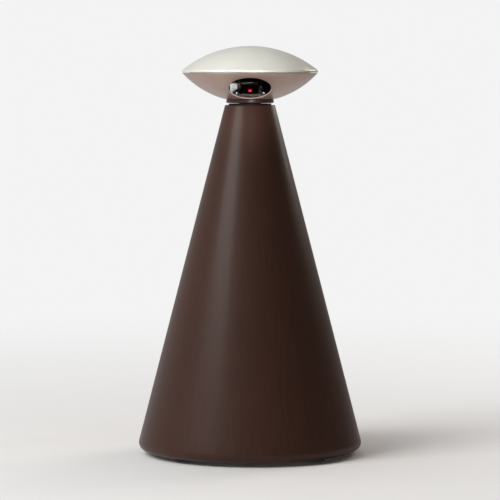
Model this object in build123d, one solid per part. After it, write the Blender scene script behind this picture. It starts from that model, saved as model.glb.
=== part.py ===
"""Automatic cat laser toy: a tall cone on four feet with a turning lens-shaped head.

A laser barrel stands on the axis inside the cone and shines up through a hollow drive tube. The tube turns
the head, and a small mirror in the head throws the beam out of a window in the head's bowl. A small motor
turns the tube through three pairs of gears. Four AA cells lie in a bay in the base.

Millimetres, +Z up. The origin is on the table under the middle of the cone, and the window faces -Y.
"""

from build123d import *
from math import acos, cos, degrees, hypot, pi, radians, sin, sqrt, tan
import os

# ---------------------------------------------------------------- driving dimensions
# Cone
foot_stand = 2.0  # the feet hold the cone this far off the table
cone_foot_radius = 62.5  # where the straight wall would meet the table
cone_top_radius = 13.6
cone_top_z = 190.0
cone_wall = 2.2
cone_edge_round = 4.0
cone_crown_round = 0.6
cone_lip_width = 6.0  # of the foot's flat edge round the base plate
cone_lip_height = 5.0
cone_crown = 2.5  # thickness of the cone's closed top
boss_radius = 4.0
boss_rib = 2.0
boss_height = 20.0
boss_floor = 3.0  # solid plastic over each screw hole

# Base plate and battery bay
base_thick = 3.0
base_gap = 0.2  # radial, base plate in the cone's lip
base_boss_inset = 9.0  # from the lip's edge
base_boss_angles = (30, 150, 270)
cell_diameter = 14.2
cell_length = 49.2  # without the button
cell_button_radius = 2.7
cell_button = 1.3
cell_edge_round = 0.5
cell_gap = 0.5
cell_count = 4
spring_length = 5.0
spring_radius = 3.4
spring_wire = 0.35
spring_turns = 3.5
spring_gap = 0.05
contact_thick = 0.5
contact_width = 10.0
contact_height = 9.0
contact_strip = 4.0
contact_gap = 0.1
terminal_width = 3.0
terminal_rise = 3.0  # above the bay's roof
bay_wall = 1.8
bay_gap = 0.4  # over and under the cells
door_thick = 1.9
door_gap = 0.25
door_seat_gap = 0.1
door_ledge = 1.6
door_corner = 2.0
door_ear_radius = 4.0
door_ear_reach = 2.8
door_boss_radius = 3.0
door_boss_height = 8.0
door_grip_width = 16.0
door_grip_step = 2.4
door_grip_deep = 0.5
door_grip_lines = 5
foot_lip_gap = 1.4  # from a foot to the lip's edge
foot_door_gap = 3.1  # from a foot to the door's corner
foot_recess = 0.8
foot_angles = {"front_right": -45, "back_right": 45, "back_left": 135, "front_left": 225}
foot_gap = 0.1
foot_edge_round = 0.6

# Circuit board and button
button_z = 34.0
button_radius = 6.0
button_gap = 0.25
button_proud = 0.8
button_edge_round = 0.4
button_flange = 1.4
button_flange_thick = 1.2
button_travel = 0.8
button_stem_radius = 1.6
button_stem_length = 4.2  # from the flange to the plunger
button_guide_wall = 1.8
button_guide_reach = 5.0  # from the cone's inner wall to the guide's flat end
button_seat_gap = 0.3
board_thick = 1.6
board_width = 36.0
board_height = 36.0
board_drop = 20.0  # from the button's axis down to the board's edge
board_part_rise = 5.3  # of the chip and capacitor over the bay's roof
rail_width = 4.0
rail_depth = 5.0
rail_bite = 1.2
rail_gap = 0.1
rail_share = 0.6  # of the board's height
switch_side = 6.0
switch_height = 3.6
switch_floor = 0.4
plunger_radius = 1.75
plunger_gap = 0.1
plunger_proud = 1.2
chip_side = 10.0
chip_thick = 1.6
chip_notch = 0.6
capacitor_radius = 3.2
capacitor_length = 7.0
part_offset = 9.0  # chip and capacitor to each side of the middle
socket_width = 6.4
socket_depth = 5.6
socket_height = 4.6
socket_drop = 7.0  # from the board's top edge
socket_pitch = 9.0

# Gears
gear_module = 0.5
pressure_angle = 25.0
tooth_addendum = 0.8  # in modules
tooth_dedendum = 1.05
tooth_thinning = 0.06
pinion_teeth = 12
wheel_teeth = 36
output_teeth = 48
gear_face = 3.0
gear_level_gap = 1.0
axle_radius = 1.0
axle_gap = 0.05
hub_radius = 1.8
hub_end_gap = 0.15
output_hub_radius = 8.0
gear_hub_clearance = 0.3

# Drive unit
lower_plate_z = 112.0
lower_plate_gap = 2.2  # from the cone's wall
plate_thick = 2.5
output_hub_length = 5.5  # from the output gear to the upper plate
upper_plate_gap = 0.8  # from the cone's wall
pillar_inset = 4.1  # from the cone's wall at the upper plate
pillar_radius = 2.4
pillar_angles = (110, 200, 288)
shell_boss_radius = 3.2
shell_boss_reach = 14.0
chassis_bite = 6.0  # how far the chassis screws reach into the cone's bosses
gear2_angle = -30.0
gear1_distance = 16.0  # from the cone's axis
motor_distance = 16.5

# Motor
motor_radius = 10.05
motor_flat = 7.55
motor_length = 20.0
motor_skin = 0.6
motor_collar_radius = 3.0
motor_collar = 1.4
motor_cap = 3.0
motor_gap = 0.05
shaft_radius = 1.0
shaft_tail = 1.0  # the shaft's end inside the cap
shaft_tip = 0.3  # above the pinion
armature_radius = 6.2
armature_length = 11.0
armature_slot = 1.2
armature_poles = 3
armature_core = 2.6
magnet_inner = 6.9
magnet_half_height = 5.0
motor_terminal_offset = 5.0
motor_terminal_length = 4.0
motor_screw_distance = 7.0
motor_screw_length = 3.6

# Laser
laser_radius = 3.25
laser_length = 15.0
laser_stand = 4.0  # over the lower plate
laser_clamp_wall = 2.2
laser_clamp_drop = 6.0
laser_lens_radius = 2.0
laser_lens_thick = 1.2
laser_lens_inset = 0.4
laser_lead_offset = 1.3

# Neck
tube_radius = 6.0
tube_bore = 4.5
tube_foot = 0.5  # below the output gear
tube_gap = 0.05
bushing_radius = 9.5
bushing_length = 6.0
bushing_flange = 0.8
bushing_flange_inset = 2.0  # from the cone's top edge
flange_thick = 2.2
turn_gap = 0.3  # between the head and what it turns on
collar_inset = 0.7  # from the cone's top edge
collar_wall = 2.1
collar_round = 0.5
clip_thick = 0.8
clip_groove = 0.7
clip_reach = 1.4
clip_mouth = 7.0

# Head
disc_radius = 36.9
dome_height = 14.5
bowl_depth = 14.2
bowl_foot_proud = 0.3  # of the cone's top edge
bowl_belly = 1.9  # how far the bowl's profile bulges from its chord
disc_wall = 1.8
rim_band = 1.3
seam_gap = 0.15
locating_lip = 1.0
locating_lip_height = 1.4
locating_lip_gap = 0.15
window_half_width = 11.3
window_sill = 0.7  # from the bowl's foot up to the window's lowest point
window_head = 2.7  # from the seam down to the window's top
window_start = 8.8  # the cut begins this far in front of the axis
spigot_gap = 0.05
tube_screw_angles = (90, 210, 330)
head_screw_lean = 1.7  # inward of midway between the housing's side and the rim
head_screw_angles = (35, 90, 145)
head_post_radius = 3.4
head_post_drop = 1.0  # the bowl's posts end this far below the seam
head_seat_drop = 4.0  # the screw heads seat this far below the seam
head_screw_bite = 6.0

# Mirror
mirror_width = 9.2
mirror_depth = 8.0
mirror_thick = 1.1
carrier_thick = 1.5
carrier_margin = 0.5
mirror_rest_tilt = 37.5  # from level; it faces down and to the front
mirror_pivot_rise = 5.0  # over the bowl's floor
trunnion_radius = 1.0
trunnion_gap = 0.06
trunnion_end = 0.3
ear_gap = 0.4
ear_thick = 1.1
ear_radius = 2.2
knob_radius = 3.5
knob_wheel = 1.3
knob_taper = 2.7
knob_tip_radius = 1.7
knob_gap = 0.3
knob_groove = 0.35
knob_grooves = 18
cup_half_width = 14.5
cup_back = 12.0
cup_front = 8.5  # the window's opening is cut in the cup's floor from here
cup_wall = 1.0
cup_gap = 0.15
cup_roof_gap = 0.3  # under the dome's locating lip
cup_floor_hole = 7.0

# Screws
screw_radius = 1.2
screw_head_radius = 2.4
screw_head = 1.5
small_screw_radius = 0.9
small_screw_head_radius = 1.7
small_screw_head = 1.0
thread_gap = 0.05
screw_hole_gap = 0.2
cross_width = 0.6
cross_deep = 0.6  # share of the head's height

# Wires
wire_radius = 0.65
wire_offset = 1.25  # of each wire from the middle of its socket
wire_bend_share = 0.45

# ---------------------------------------------------------------- worked out
taper = (cone_foot_radius - cone_top_radius) / cone_top_z
wall_across = cone_wall * sqrt(1 + taper**2)
cone_bottom = foot_stand
cone_lip = cone_foot_radius - taper * cone_bottom - cone_lip_width
base_boss_circle = cone_lip - base_boss_inset
base_top = cone_bottom + base_thick
door_top = cone_bottom + door_thick
ledge_z = door_top + door_seat_gap
cell_z = door_top + bay_gap + cell_diameter / 2
bay_top = cell_z + cell_diameter / 2 + bay_gap
bay_roof = bay_top + bay_wall
cell_pitch = cell_diameter + cell_gap
bay_half_y = cell_count * cell_pitch / 2
contact_x = (cell_length + cell_button + spring_length) / 2
contact_back = contact_x + contact_thick
bay_half_x = contact_back + contact_gap
pocket_half_x = bay_half_x + door_ledge
pocket_half_y = bay_half_y + door_ledge
door_ear_y = pocket_half_y + door_ear_reach
door_corner_reach = hypot(pocket_half_x - door_corner, pocket_half_y - door_corner) + door_corner
foot_radius = (cone_lip - foot_lip_gap - door_corner_reach - foot_door_gap) / 2
foot_circle = cone_lip - foot_lip_gap - foot_radius
terminal_top = bay_roof + terminal_rise
board_low = button_z - board_drop
board_top = board_low + board_height
board_part_z = bay_roof + board_part_rise
socket_z = board_top - socket_drop

lower_plate_top = lower_plate_z + plate_thick
level_step = gear_face + gear_level_gap
levels = [lower_plate_top + gear_level_gap + step * level_step for step in range(3)]
upper_plate_z = levels[2] + gear_face + output_hub_length
upper_plate_top = upper_plate_z + plate_thick
laser_top = lower_plate_top + laser_stand
laser_z = laser_top - laser_length
tube_foot_z = levels[2] - tube_foot
pinion_pitch = gear_module * pinion_teeth / 2
wheel_pitch = gear_module * wheel_teeth / 2
output_pitch = gear_module * output_teeth / 2
wheel_centres = pinion_pitch + wheel_pitch
gear2_distance = pinion_pitch + output_pitch

neck_seat = cone_top_z + bushing_flange + turn_gap
bowl_bottom = neck_seat + flange_thick
bowl_floor = bowl_bottom + disc_wall
bushing_low = cone_top_z - bushing_length
collar_radius = cone_top_radius - collar_inset
flange_radius = collar_radius - collar_wall
bowl_foot_radius = cone_top_radius + bowl_foot_proud
tube_screw_circle = (tube_radius + flange_radius) / 2
head_screw_circle = (disc_radius + cup_half_width) / 2 - head_screw_lean
seam_z = bowl_bottom + bowl_depth
dome_low = seam_z + seam_gap
window_low = bowl_bottom + window_sill
window_top = seam_z - window_head
pivot_z = bowl_floor + mirror_pivot_rise

carrier_half = mirror_width / 2 + carrier_margin
ear_inner = carrier_half + ear_gap
ear_outer = ear_inner + ear_thick
knob_tip_x = -ear_outer - knob_gap
knob_wheel_x = knob_tip_x - knob_taper
knob_end_x = knob_wheel_x - knob_wheel

upright = (Align.CENTER, Align.CENTER, Align.MIN)


def cone_radius(z):
    """Outer radius of the cone's straight wall at height z."""
    return cone_foot_radius - taper * z


def inner_radius(z):
    """Inner radius of the cone's wall at height z."""
    return cone_radius(z) - wall_across


def polar(radius, angle):
    """x and y of a point on a circle about Z, its angle in degrees."""
    return radius * cos(radians(angle)), radius * sin(radians(angle))


def swing(side_1, side_2, opposite):
    """The angle in degrees between two sides of a triangle, from its third side."""
    return degrees(acos((side_1**2 + side_2**2 - opposite**2) / (2 * side_1 * side_2)))


gear1_angle = gear2_angle + swing(gear2_distance, gear1_distance, wheel_centres)
motor_angle = gear1_angle + swing(gear1_distance, motor_distance, wheel_centres)
pillar_circle = inner_radius(upper_plate_top) - pillar_inset
button_guide_end = inner_radius(button_z) - button_guide_reach
button_flange_low = button_guide_end - button_seat_gap - button_flange_thick
plunger_end = button_flange_low - button_stem_length
switch_face = plunger_end - plunger_proud
board_y = switch_face - switch_height
board_inner = board_y - board_thick
gear2_x, gear2_y = polar(gear2_distance, gear2_angle)
gear1_x, gear1_y = polar(gear1_distance, gear1_angle)
motor_x, motor_y = polar(motor_distance, motor_angle)

# ---------------------------------------------------------------- helpers
os.makedirs("parts", exist_ok=True)


def save(node, *pieces):
    """Writes one node's solids to its STEP file."""
    shape = Compound(children=[solid for piece in pieces for solid in piece.solids()])
    shape.label = node
    export_step(shape, f"parts/{node}.step")


def rod(radius, low, high, x=0.0, y=0.0):
    """A round bar along Z."""
    return Pos(x, y, low) * Cylinder(radius, high - low, align=upright)


def ring(outer, inner, low, high, x=0.0, y=0.0):
    """A tube along Z."""
    return rod(outer, low, high, x, y) - rod(inner, low, high, x, y)


def taper_rod(low_radius, high_radius, low, high):
    """A tapered round bar along Z."""
    return Pos(0, 0, low) * Cone(low_radius, high_radius, high - low, align=upright)


def along_x(shape):
    """Lays a shape that points up Z along X."""
    return Rot(0, 90, 0) * shape


def along_y(shape):
    """Lays a shape that points up Z along Y."""
    return Rot(-90, 0, 0) * shape


def block(low, high):
    """A box between two corners."""
    size = [b - a for a, b in zip(low, high)]
    middle = [(a + b) / 2 for a, b in zip(low, high)]
    return Pos(*middle) * Box(*size)


def turned(outline):
    """A solid of revolution about Z from a closed outline drawn in (radius, height)."""
    return revolve(Plane.XZ * make_face(outline), Axis.Z)


def screw(shank, length, head, head_height, countersunk=False):
    """A cross-head screw. Its head's top is at z = 0, and its shank points down."""
    tip = shank
    bar = rod(shank, tip - length, -head_height) + taper_rod(shank / 4, shank, -length, tip - length)
    if countersunk:
        top = taper_rod(shank, head, -head_height, 0)
    else:
        top = rod(head, -head_height, 0)
        top = fillet(top.edges().group_by(Axis.Z)[-1], head_height / 3)
    arm = head / 2
    deep = head_height * cross_deep
    for turn in (0, 90):
        top -= Rot(0, 0, turn) * block((-arm, -cross_width / 2, -deep), (arm, cross_width / 2, deep))
    return bar + top


def upside_down(shape):
    """Turns a shape over, so that a screw points up."""
    return Rot(180, 0, 0) * shape


def sink(head, head_height, shank, length):
    """The hole for a countersunk screw that points down from z = 0."""
    gap = screw_hole_gap
    return taper_rod(shank + gap, head + gap, -head_height, 0) + rod(shank + gap, -length, -head_height)


def wire(*points):
    """An insulated wire: straight runs joined by arcs as large as the runs allow."""
    runs = [Vector(*b) - Vector(*a) for a, b in zip(points, points[1:])]
    bends = []
    for one, two in zip(runs, runs[1:]):
        half_turn = radians(one.get_angle(two)) / 2
        bends.append(wire_bend_share * min(one.length, two.length) / tan(half_turn))
    path = FilletPolyline(*points, radius=bends)
    section = Plane(path @ 0, z_dir=path % 0) * Circle(wire_radius)
    return sweep(section, path=path)


def arc_about_z(radius, start_angle, end_angle):
    """An arc about Z between two angles in degrees."""
    angles = (start_angle, (start_angle + end_angle) / 2, end_angle)
    return ThreePointArc(*[polar(radius, angle) for angle in angles])


def involute_angle(pressure):
    """The involute function of a pressure angle in radians."""
    return tan(pressure) - pressure


def gear(teeth, low, high, phase):
    """A spur gear about Z. One tooth is centred on the angle phase, in degrees."""
    pitch = gear_module * teeth / 2
    base = pitch * cos(radians(pressure_angle))
    tip = pitch + tooth_addendum * gear_module
    root = pitch - tooth_dedendum * gear_module
    start = max(base, root)
    half_tooth = pi / (2 * teeth) - tooth_thinning / (2 * pitch)

    def flank(radius):
        """Half the tooth's angle at a radius, in degrees."""
        here = involute_angle(acos(min(1, base / radius)))
        return degrees(half_tooth + involute_angle(radians(pressure_angle)) - here)

    edges = []
    middle = (start + tip) / 2
    pitch_angle = 360 / teeth
    for number in range(teeth):
        centre = phase + number * pitch_angle
        for side in (-1, 1):
            foot, waist, crest = [
                polar(radius, centre + side * flank(radius)) for radius in (start, middle, tip)
            ]
            edges.append(ThreePointArc(foot, waist, crest))
            if root < start:
                edges.append(Line(polar(root, centre + side * flank(start)), foot))
        edges.append(arc_about_z(tip, centre - flank(tip), centre + flank(tip)))
        edges.append(arc_about_z(root, centre + flank(start), centre + pitch_angle - flank(start)))
    return Pos(0, 0, low) * extrude(make_face(edges), high - low)


def meshed_phase(teeth, other_teeth, other_phase, bearing):
    """The phase of a gear whose teeth fit the gaps of another gear, seen from which it lies at bearing."""
    share = 0.5 - (bearing - other_phase) * other_teeth / 360
    return bearing + 180 - share * 360 / teeth


def bearing(here, there):
    """The direction from one axle to another, in degrees."""
    return Vector(1, 0).get_signed_angle(Vector(*there) - Vector(*here), Vector(0, 0, 1))


# ---------------------------------------------------------------- cone shell
def cone_shell():
    """The one-piece cone, open at the foot, with its bosses, crown hole and button guide."""
    crown_low = cone_top_z - cone_crown
    lip_top = cone_bottom + cone_lip_height
    profile = make_face(
        Polyline(
            (cone_lip, cone_bottom),
            (cone_radius(cone_bottom), cone_bottom),
            (cone_top_radius, cone_top_z),
            (bushing_radius, cone_top_z),
            (bushing_radius, crown_low),
            (inner_radius(crown_low), crown_low),
            (inner_radius(lip_top), lip_top),
            (cone_lip, lip_top),
            close=True,
        )
    )
    profile = fillet(profile.vertices().sort_by(Axis.X)[-1], cone_edge_round)
    crown_edge = profile.vertices().group_by(Axis.Y)[-1].sort_by(Axis.X)[-1]
    profile = fillet(crown_edge, cone_crown_round)
    shell = revolve(Plane.XZ * profile, Axis.Z)

    mid_wall = wall_across / 2
    within = turned(
        Polyline(
            (0, base_top),
            (cone_radius(base_top) - mid_wall, base_top),
            (cone_top_radius - mid_wall, cone_top_z),
            (0, cone_top_z),
            close=True,
        )
    )
    posts = Part()
    boss_top = base_top + boss_height
    for angle in base_boss_angles:
        x, y = polar(base_boss_circle, angle)
        posts += rod(boss_radius, base_top, boss_top, x, y)
        rib_start = (base_boss_circle, -boss_rib / 2, base_top)
        rib = block(rib_start, (cone_foot_radius, boss_rib / 2, boss_top))
        posts += Rot(0, 0, angle) * rib
    for angle in pillar_angles:
        x, y = polar(pillar_circle, angle)
        posts += rod(shell_boss_radius, upper_plate_top, upper_plate_top + shell_boss_reach, x, y)
    guide_bore = button_radius + button_gap
    guide = along_y(rod(guide_bore + button_guide_wall, button_guide_end, cone_foot_radius))
    shell += (posts + Pos(0, 0, button_z) * guide) & within

    hole = screw_radius + thread_gap
    for angle in base_boss_angles:
        shell -= rod(hole, base_top, boss_top - boss_floor, *polar(base_boss_circle, angle))
    for angle in pillar_angles:
        top = upper_plate_top + chassis_bite + thread_gap
        shell -= rod(hole, upper_plate_top, top, *polar(pillar_circle, angle))
    return shell - Pos(0, 0, button_z) * along_y(rod(guide_bore, 0, cone_foot_radius))


save("cone_shell", cone_shell())


# ---------------------------------------------------------------- base plate, feet and battery door
def rounded_block(half_x, half_y, low, high, corner):
    """A block about Z with round upright edges."""
    return Pos(0, 0, low) * extrude(RectangleRounded(2 * half_x, 2 * half_y, corner), high - low)


def door_outline(low, high, gap):
    """The battery door's plate with its two screw ears, smaller all round by the gap."""
    plate = rounded_block(pocket_half_x - gap, pocket_half_y - gap, low, high, door_corner)
    for side in (-1, 1):
        ear = rod(door_ear_radius - gap, low, high, 0, side * door_ear_y)
        neck = block(
            (-door_ear_radius + gap, min(0, side * door_ear_y), low),
            (door_ear_radius - gap, max(0, side * door_ear_y), high),
        )
        plate += ear + neck
    return plate


def base_plate():
    """The round floor of the cone with the walls and roof of the battery bay and the board's rails."""
    plate = rod(cone_lip - base_gap, cone_bottom, base_top)
    outer_x = bay_half_x + bay_wall
    outer_y = bay_half_y + bay_wall
    plate += block((-outer_x, -outer_y, cone_bottom), (outer_x, outer_y, bay_roof))
    for side in (-1, 1):
        plate += rod(door_boss_radius, base_top, base_top + door_boss_height, 0, side * door_ear_y)
        rail_x = side * (board_width / 2 - rail_bite + rail_width / 2)
        rail = block(
            (-rail_width / 2, -rail_depth / 2, base_top),
            (rail_width / 2, rail_depth / 2, board_low + board_height * rail_share),
        )
        plate += Pos(rail_x, board_y - board_thick / 2, 0) * rail
    slot_half = board_width / 2 + rail_gap
    plate -= block(
        (-slot_half, board_inner - rail_gap, board_low), (slot_half, board_y + rail_gap, board_top)
    )
    plate -= block((-bay_half_x, -bay_half_y, cone_bottom), (bay_half_x, bay_half_y, bay_top))
    plate -= door_outline(cone_bottom, ledge_z, 0)
    hole = screw_radius + thread_gap
    for side in (-1, 1):
        plate -= rod(hole, cone_bottom, base_top + door_boss_height - boss_rib, 0, side * door_ear_y)
        slot_y = side * (bay_half_y - cell_pitch / 2)
        plate -= block(
            (contact_x - contact_gap, slot_y - terminal_width / 2 - contact_gap, bay_top),
            (bay_half_x, slot_y + terminal_width / 2 + contact_gap, bay_roof),
        )
    for angle in base_boss_angles:
        tunnel = upside_down(sink(screw_head_radius, screw_head, screw_radius, base_thick))
        plate -= Pos(*polar(base_boss_circle, angle), cone_bottom) * tunnel
    for angle in foot_angles.values():
        plate -= rod(
            foot_radius + foot_gap, cone_bottom, cone_bottom + foot_recess, *polar(foot_circle, angle)
        )
    return plate


def rubber_foot(angle):
    """One round rubber foot, glued into its recess."""
    foot = rod(foot_radius, 0, cone_bottom + foot_recess, *polar(foot_circle, angle))
    return fillet(foot.edges().group_by(Axis.Z)[0], foot_edge_round)


def battery_door():
    """The flat door under the cells, with finger grooves at each end."""
    door = door_outline(cone_bottom, door_top, door_gap)
    for side in (-1, 1):
        tunnel = upside_down(sink(screw_head_radius, screw_head, screw_radius, door_thick))
        door -= Pos(0, side * door_ear_y, cone_bottom) * tunnel
        for line in range(door_grip_lines):
            y = side * (pocket_half_y - door_grip_step * (line + 2))
            groove = along_x(rod(door_grip_deep, -door_grip_width / 2, door_grip_width / 2))
            door -= Pos(0, y, cone_bottom) * groove
    return door


save("base_plate", base_plate())
for place, angle in foot_angles.items():
    save(f"rubber_foot_{place}", rubber_foot(angle))
save("battery_door", battery_door())

base_screw_length = base_thick + boss_height / 2
base_screw = upside_down(screw(screw_radius, base_screw_length, screw_head_radius, screw_head, True))
base_screw_places = [Pos(*polar(base_boss_circle, angle), cone_bottom) for angle in base_boss_angles]
save("base_screws", *[place * base_screw for place in base_screw_places])
door_screw_length = base_thick + door_boss_height / 2
door_screw = upside_down(screw(screw_radius, door_screw_length, screw_head_radius, screw_head, True))
save("battery_door_screws", *[Pos(0, side * door_ear_y, cone_bottom) * door_screw for side in (-1, 1)])


# ---------------------------------------------------------------- cells and their contacts
def cell_place(number):
    """y of a cell, and +1 or -1 for the end at which its button lies."""
    y = (number - (cell_count + 1) / 2) * cell_pitch
    return y, 1 if number % 2 == 0 else -1


def battery_cell():
    """An AA cell along X with its button at the +X end of the bay."""
    body_end = contact_x - cell_button
    body = rod(cell_diameter / 2, body_end - cell_length, body_end)
    body = fillet(body.edges(), cell_edge_round)
    return along_x(body + rod(cell_button_radius, body_end - cell_edge_round, contact_x))


def contact_spring():
    """The coil spring at the foot of a cell whose button lies at the +X end."""
    low = spring_gap + spring_wire
    coil_length = spring_length - 2 * low
    coil = Helix(coil_length / spring_turns, coil_length, spring_radius)
    section = Plane(coil @ 0, z_dir=coil % 0) * Circle(spring_wire)
    return Pos(-contact_x, 0, 0) * along_x(Pos(0, 0, low) * sweep(section, path=coil, is_frenet=True))


def contact_plate(number, side):
    """The flat contact at one end of a cell, against the bay's wall."""
    y, _ = cell_place(number)
    low = contact_x if side > 0 else -contact_back
    half = contact_width / 2
    return block(
        (low, y - half, cell_z - contact_height / 2),
        (low + contact_thick, y + half, cell_z + contact_height / 2),
    )


def contact_bridge(number, side):
    """The strip that joins the contacts of a cell and the next one."""
    y, _ = cell_place(number)
    low = contact_x if side > 0 else -contact_back
    half = contact_strip / 2
    strip = block((low, y, cell_z - half), (low + contact_thick, y + cell_pitch, cell_z + half))
    return contact_plate(number, side) + contact_plate(number + 1, side) + strip


def terminal_plate(number):
    """The contact of the first or last cell, with a tab that rises through the bay's roof."""
    y, _ = cell_place(number)
    half = terminal_width / 2
    tab = block((contact_x, y - half, cell_z), (contact_back, y + half, terminal_top))
    return contact_plate(number, 1) + tab


springs = []
for number in range(1, cell_count + 1):
    y, end = cell_place(number)
    turn = Rot(0, 0, 0 if end > 0 else 180)
    save(f"battery_cell_{number}", Pos(0, y, cell_z) * turn * battery_cell())
    springs.append(Pos(0, y, cell_z) * turn * contact_spring())
save("battery_springs", *springs)

bridges = [contact_bridge(number, -1) for number in range(1, cell_count, 2)]
bridges += [contact_bridge(number, 1) for number in range(2, cell_count, 2)]
save("battery_contacts", *bridges, terminal_plate(1), terminal_plate(cell_count))


# ---------------------------------------------------------------- circuit board and power button


def circuit_board():
    """The upright board behind the battery bay."""
    half = board_width / 2
    return block((-half, board_inner, board_low), (half, board_y, board_top))


def key_switch():
    """The square key switch on the board's outer face, without its plunger."""
    half = switch_side / 2
    body = block((-half, board_y, button_z - half), (half, switch_face, button_z + half))
    body = fillet(body.edges().filter_by(Axis.Y), switch_floor)
    return body - Pos(0, 0, button_z) * along_y(
        rod(plunger_radius + plunger_gap, board_y + switch_floor, switch_face)
    )


def key_plunger():
    """The round plunger of the key switch, under the button's stem."""
    low = board_y + switch_floor + button_travel + plunger_gap
    return Pos(0, 0, button_z) * along_y(rod(plunger_radius, low, plunger_end))


def power_button():
    """The round button in the back of the cone, cut to the cone's slope, with its flange and stem."""
    flange_high = button_guide_end - button_seat_gap
    button = rod(button_radius, button_flange_low, cone_foot_radius)
    face = turned(
        Polyline(
            (0, 0),
            (cone_radius(0) + button_proud, 0),
            (cone_radius(cone_top_z) + button_proud, cone_top_z),
            (0, cone_top_z),
            close=True,
        )
    )
    button = (Pos(0, 0, button_z) * along_y(button)) & face
    button = fillet(button.faces().sort_by(Axis.Y)[-1].edges(), button_edge_round)
    back = rod(button_radius + button_flange, button_flange_low, flange_high) + rod(
        button_stem_radius, plunger_end, button_flange_low
    )
    return button + Pos(0, 0, button_z) * along_y(back)


def control_chip():
    """The flat control chip on the board's inner face."""
    half = chip_side / 2
    chip = block((-half, -chip_thick, -half), (half, 0, half))
    notch = along_y(rod(chip_notch, -chip_thick, -chip_thick / 2))
    return Pos(-part_offset, board_inner, board_part_z) * (chip - Pos(0, 0, half) * notch)


def capacitor():
    """The can-shaped capacitor on the board's inner face."""
    can = rod(capacitor_radius, -capacitor_length, 0)
    can = fillet(can.edges().group_by(Axis.Z)[0], chip_notch)
    return Pos(part_offset, board_inner, board_part_z) * along_y(can)


def wire_socket(place):
    """One wire socket on the board's inner face."""
    half_x = socket_width / 2
    half_z = socket_height / 2
    socket = block((-half_x, -socket_depth, -half_z), (half_x, 0, half_z))
    return Pos(place * socket_pitch, board_inner, socket_z) * socket


save("circuit_board", circuit_board())
save("key_switch", key_switch())
save("key_plunger", key_plunger())
save("power_button", power_button())
save("control_chip", control_chip())
save("capacitor", capacitor())
save("wire_sockets", *[wire_socket(place) for place in (-1, 0, 1)])


# ---------------------------------------------------------------- gear plates, axles and chassis screws
def pillar_places():
    """x and y of each pillar."""
    return [polar(pillar_circle, angle) for angle in pillar_angles]


def beside_motor(offset):
    """x and y of a point beside the motor's axis, square to its line from the cone's axis."""
    x, y = polar(offset, motor_angle + 90)
    return motor_x + x, motor_y + y


motor_screw_places = [beside_motor(side * motor_screw_distance) for side in (-1, 1)]


def lower_gear_plate():
    """The plate that carries the motor, the laser's clamp, the axles and the pillars."""
    plate = rod(inner_radius(lower_plate_top) - lower_plate_gap, lower_plate_z, lower_plate_top)
    plate += rod(laser_radius + laser_clamp_wall, lower_plate_z - laser_clamp_drop, lower_plate_top)
    for x, y in pillar_places():
        plate += rod(pillar_radius, lower_plate_z, upper_plate_z, x, y)
    for x, y in pillar_places():
        plate -= rod(screw_radius + screw_hole_gap, lower_plate_z, upper_plate_z, x, y)
    plate -= rod(laser_radius, lower_plate_z - laser_clamp_drop, lower_plate_top)
    for x, y in ((gear1_x, gear1_y), (gear2_x, gear2_y)):
        plate -= rod(axle_radius, lower_plate_z, lower_plate_top, x, y)
    plate -= rod(motor_collar_radius + motor_gap, lower_plate_z, lower_plate_top, motor_x, motor_y)
    tunnel = sink(small_screw_head_radius, small_screw_head, small_screw_radius, plate_thick)
    for x, y in motor_screw_places:
        plate -= Pos(x, y, lower_plate_top) * tunnel
    return plate


def upper_gear_plate():
    """The plate over the gears, screwed up into the cone, with the drive tube's lower bearing."""
    plate = rod(inner_radius(upper_plate_top) - upper_plate_gap, upper_plate_z, upper_plate_top)
    plate -= rod(tube_radius + tube_gap, upper_plate_z, upper_plate_top)
    for x, y in ((gear1_x, gear1_y), (gear2_x, gear2_y)):
        plate -= rod(axle_radius, upper_plate_z, upper_plate_top, x, y)
    for x, y in pillar_places():
        plate -= rod(screw_radius + screw_hole_gap, upper_plate_z, upper_plate_top, x, y)
    return plate


save("lower_gear_plate", lower_gear_plate())
save("upper_gear_plate", upper_gear_plate())
save("first_axle", rod(axle_radius, lower_plate_z, upper_plate_top, gear1_x, gear1_y))
save("second_axle", rod(axle_radius, lower_plate_z, upper_plate_top, gear2_x, gear2_y))

chassis_screw_length = screw_head + upper_plate_top - lower_plate_z + chassis_bite
chassis_screw = upside_down(screw(screw_radius, chassis_screw_length, screw_head_radius, screw_head))
save("chassis_screws", *[Pos(x, y, lower_plate_z - screw_head) * chassis_screw for x, y in pillar_places()])

# ---------------------------------------------------------------- motor
can_low = lower_plate_z - motor_length
motor_low = can_low - motor_cap
motor_place = Pos(motor_x, motor_y, 0) * Rot(0, 0, motor_angle)
armature_low = lower_plate_z - motor_length / 2 - armature_length / 2
armature_high = armature_low + armature_length
shaft_top = levels[0] + gear_face + shaft_tip
shaft_low = motor_low + shaft_tail


def flatted_rod(radius, half_flat, low, high):
    """A round bar about Z with two flats that face along X."""
    return rod(radius, low, high) & block((-half_flat, -radius, low), (half_flat, radius, high))


def motor_can():
    """The drawn steel can of the motor, open below, with the collar that locates it."""
    can = flatted_rod(motor_radius, motor_flat, can_low, lower_plate_z)
    inner_top = lower_plate_z - motor_skin
    can -= flatted_rod(motor_radius - motor_skin, motor_flat - motor_skin, can_low, inner_top)
    can += ring(motor_collar_radius, shaft_radius, inner_top, lower_plate_z + motor_collar)
    can -= rod(shaft_radius + motor_gap, inner_top, lower_plate_z + motor_collar)
    for side in (-1, 1):
        can -= rod(
            small_screw_radius + thread_gap, can_low, lower_plate_z, 0, side * motor_screw_distance
        )
    return motor_place * can


def motor_end_cap():
    """The plastic cap that closes the motor's foot."""
    cap = flatted_rod(motor_radius, motor_flat, motor_low, can_low)
    return motor_place * (cap - rod(shaft_radius + motor_gap, shaft_low, can_low))


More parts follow.
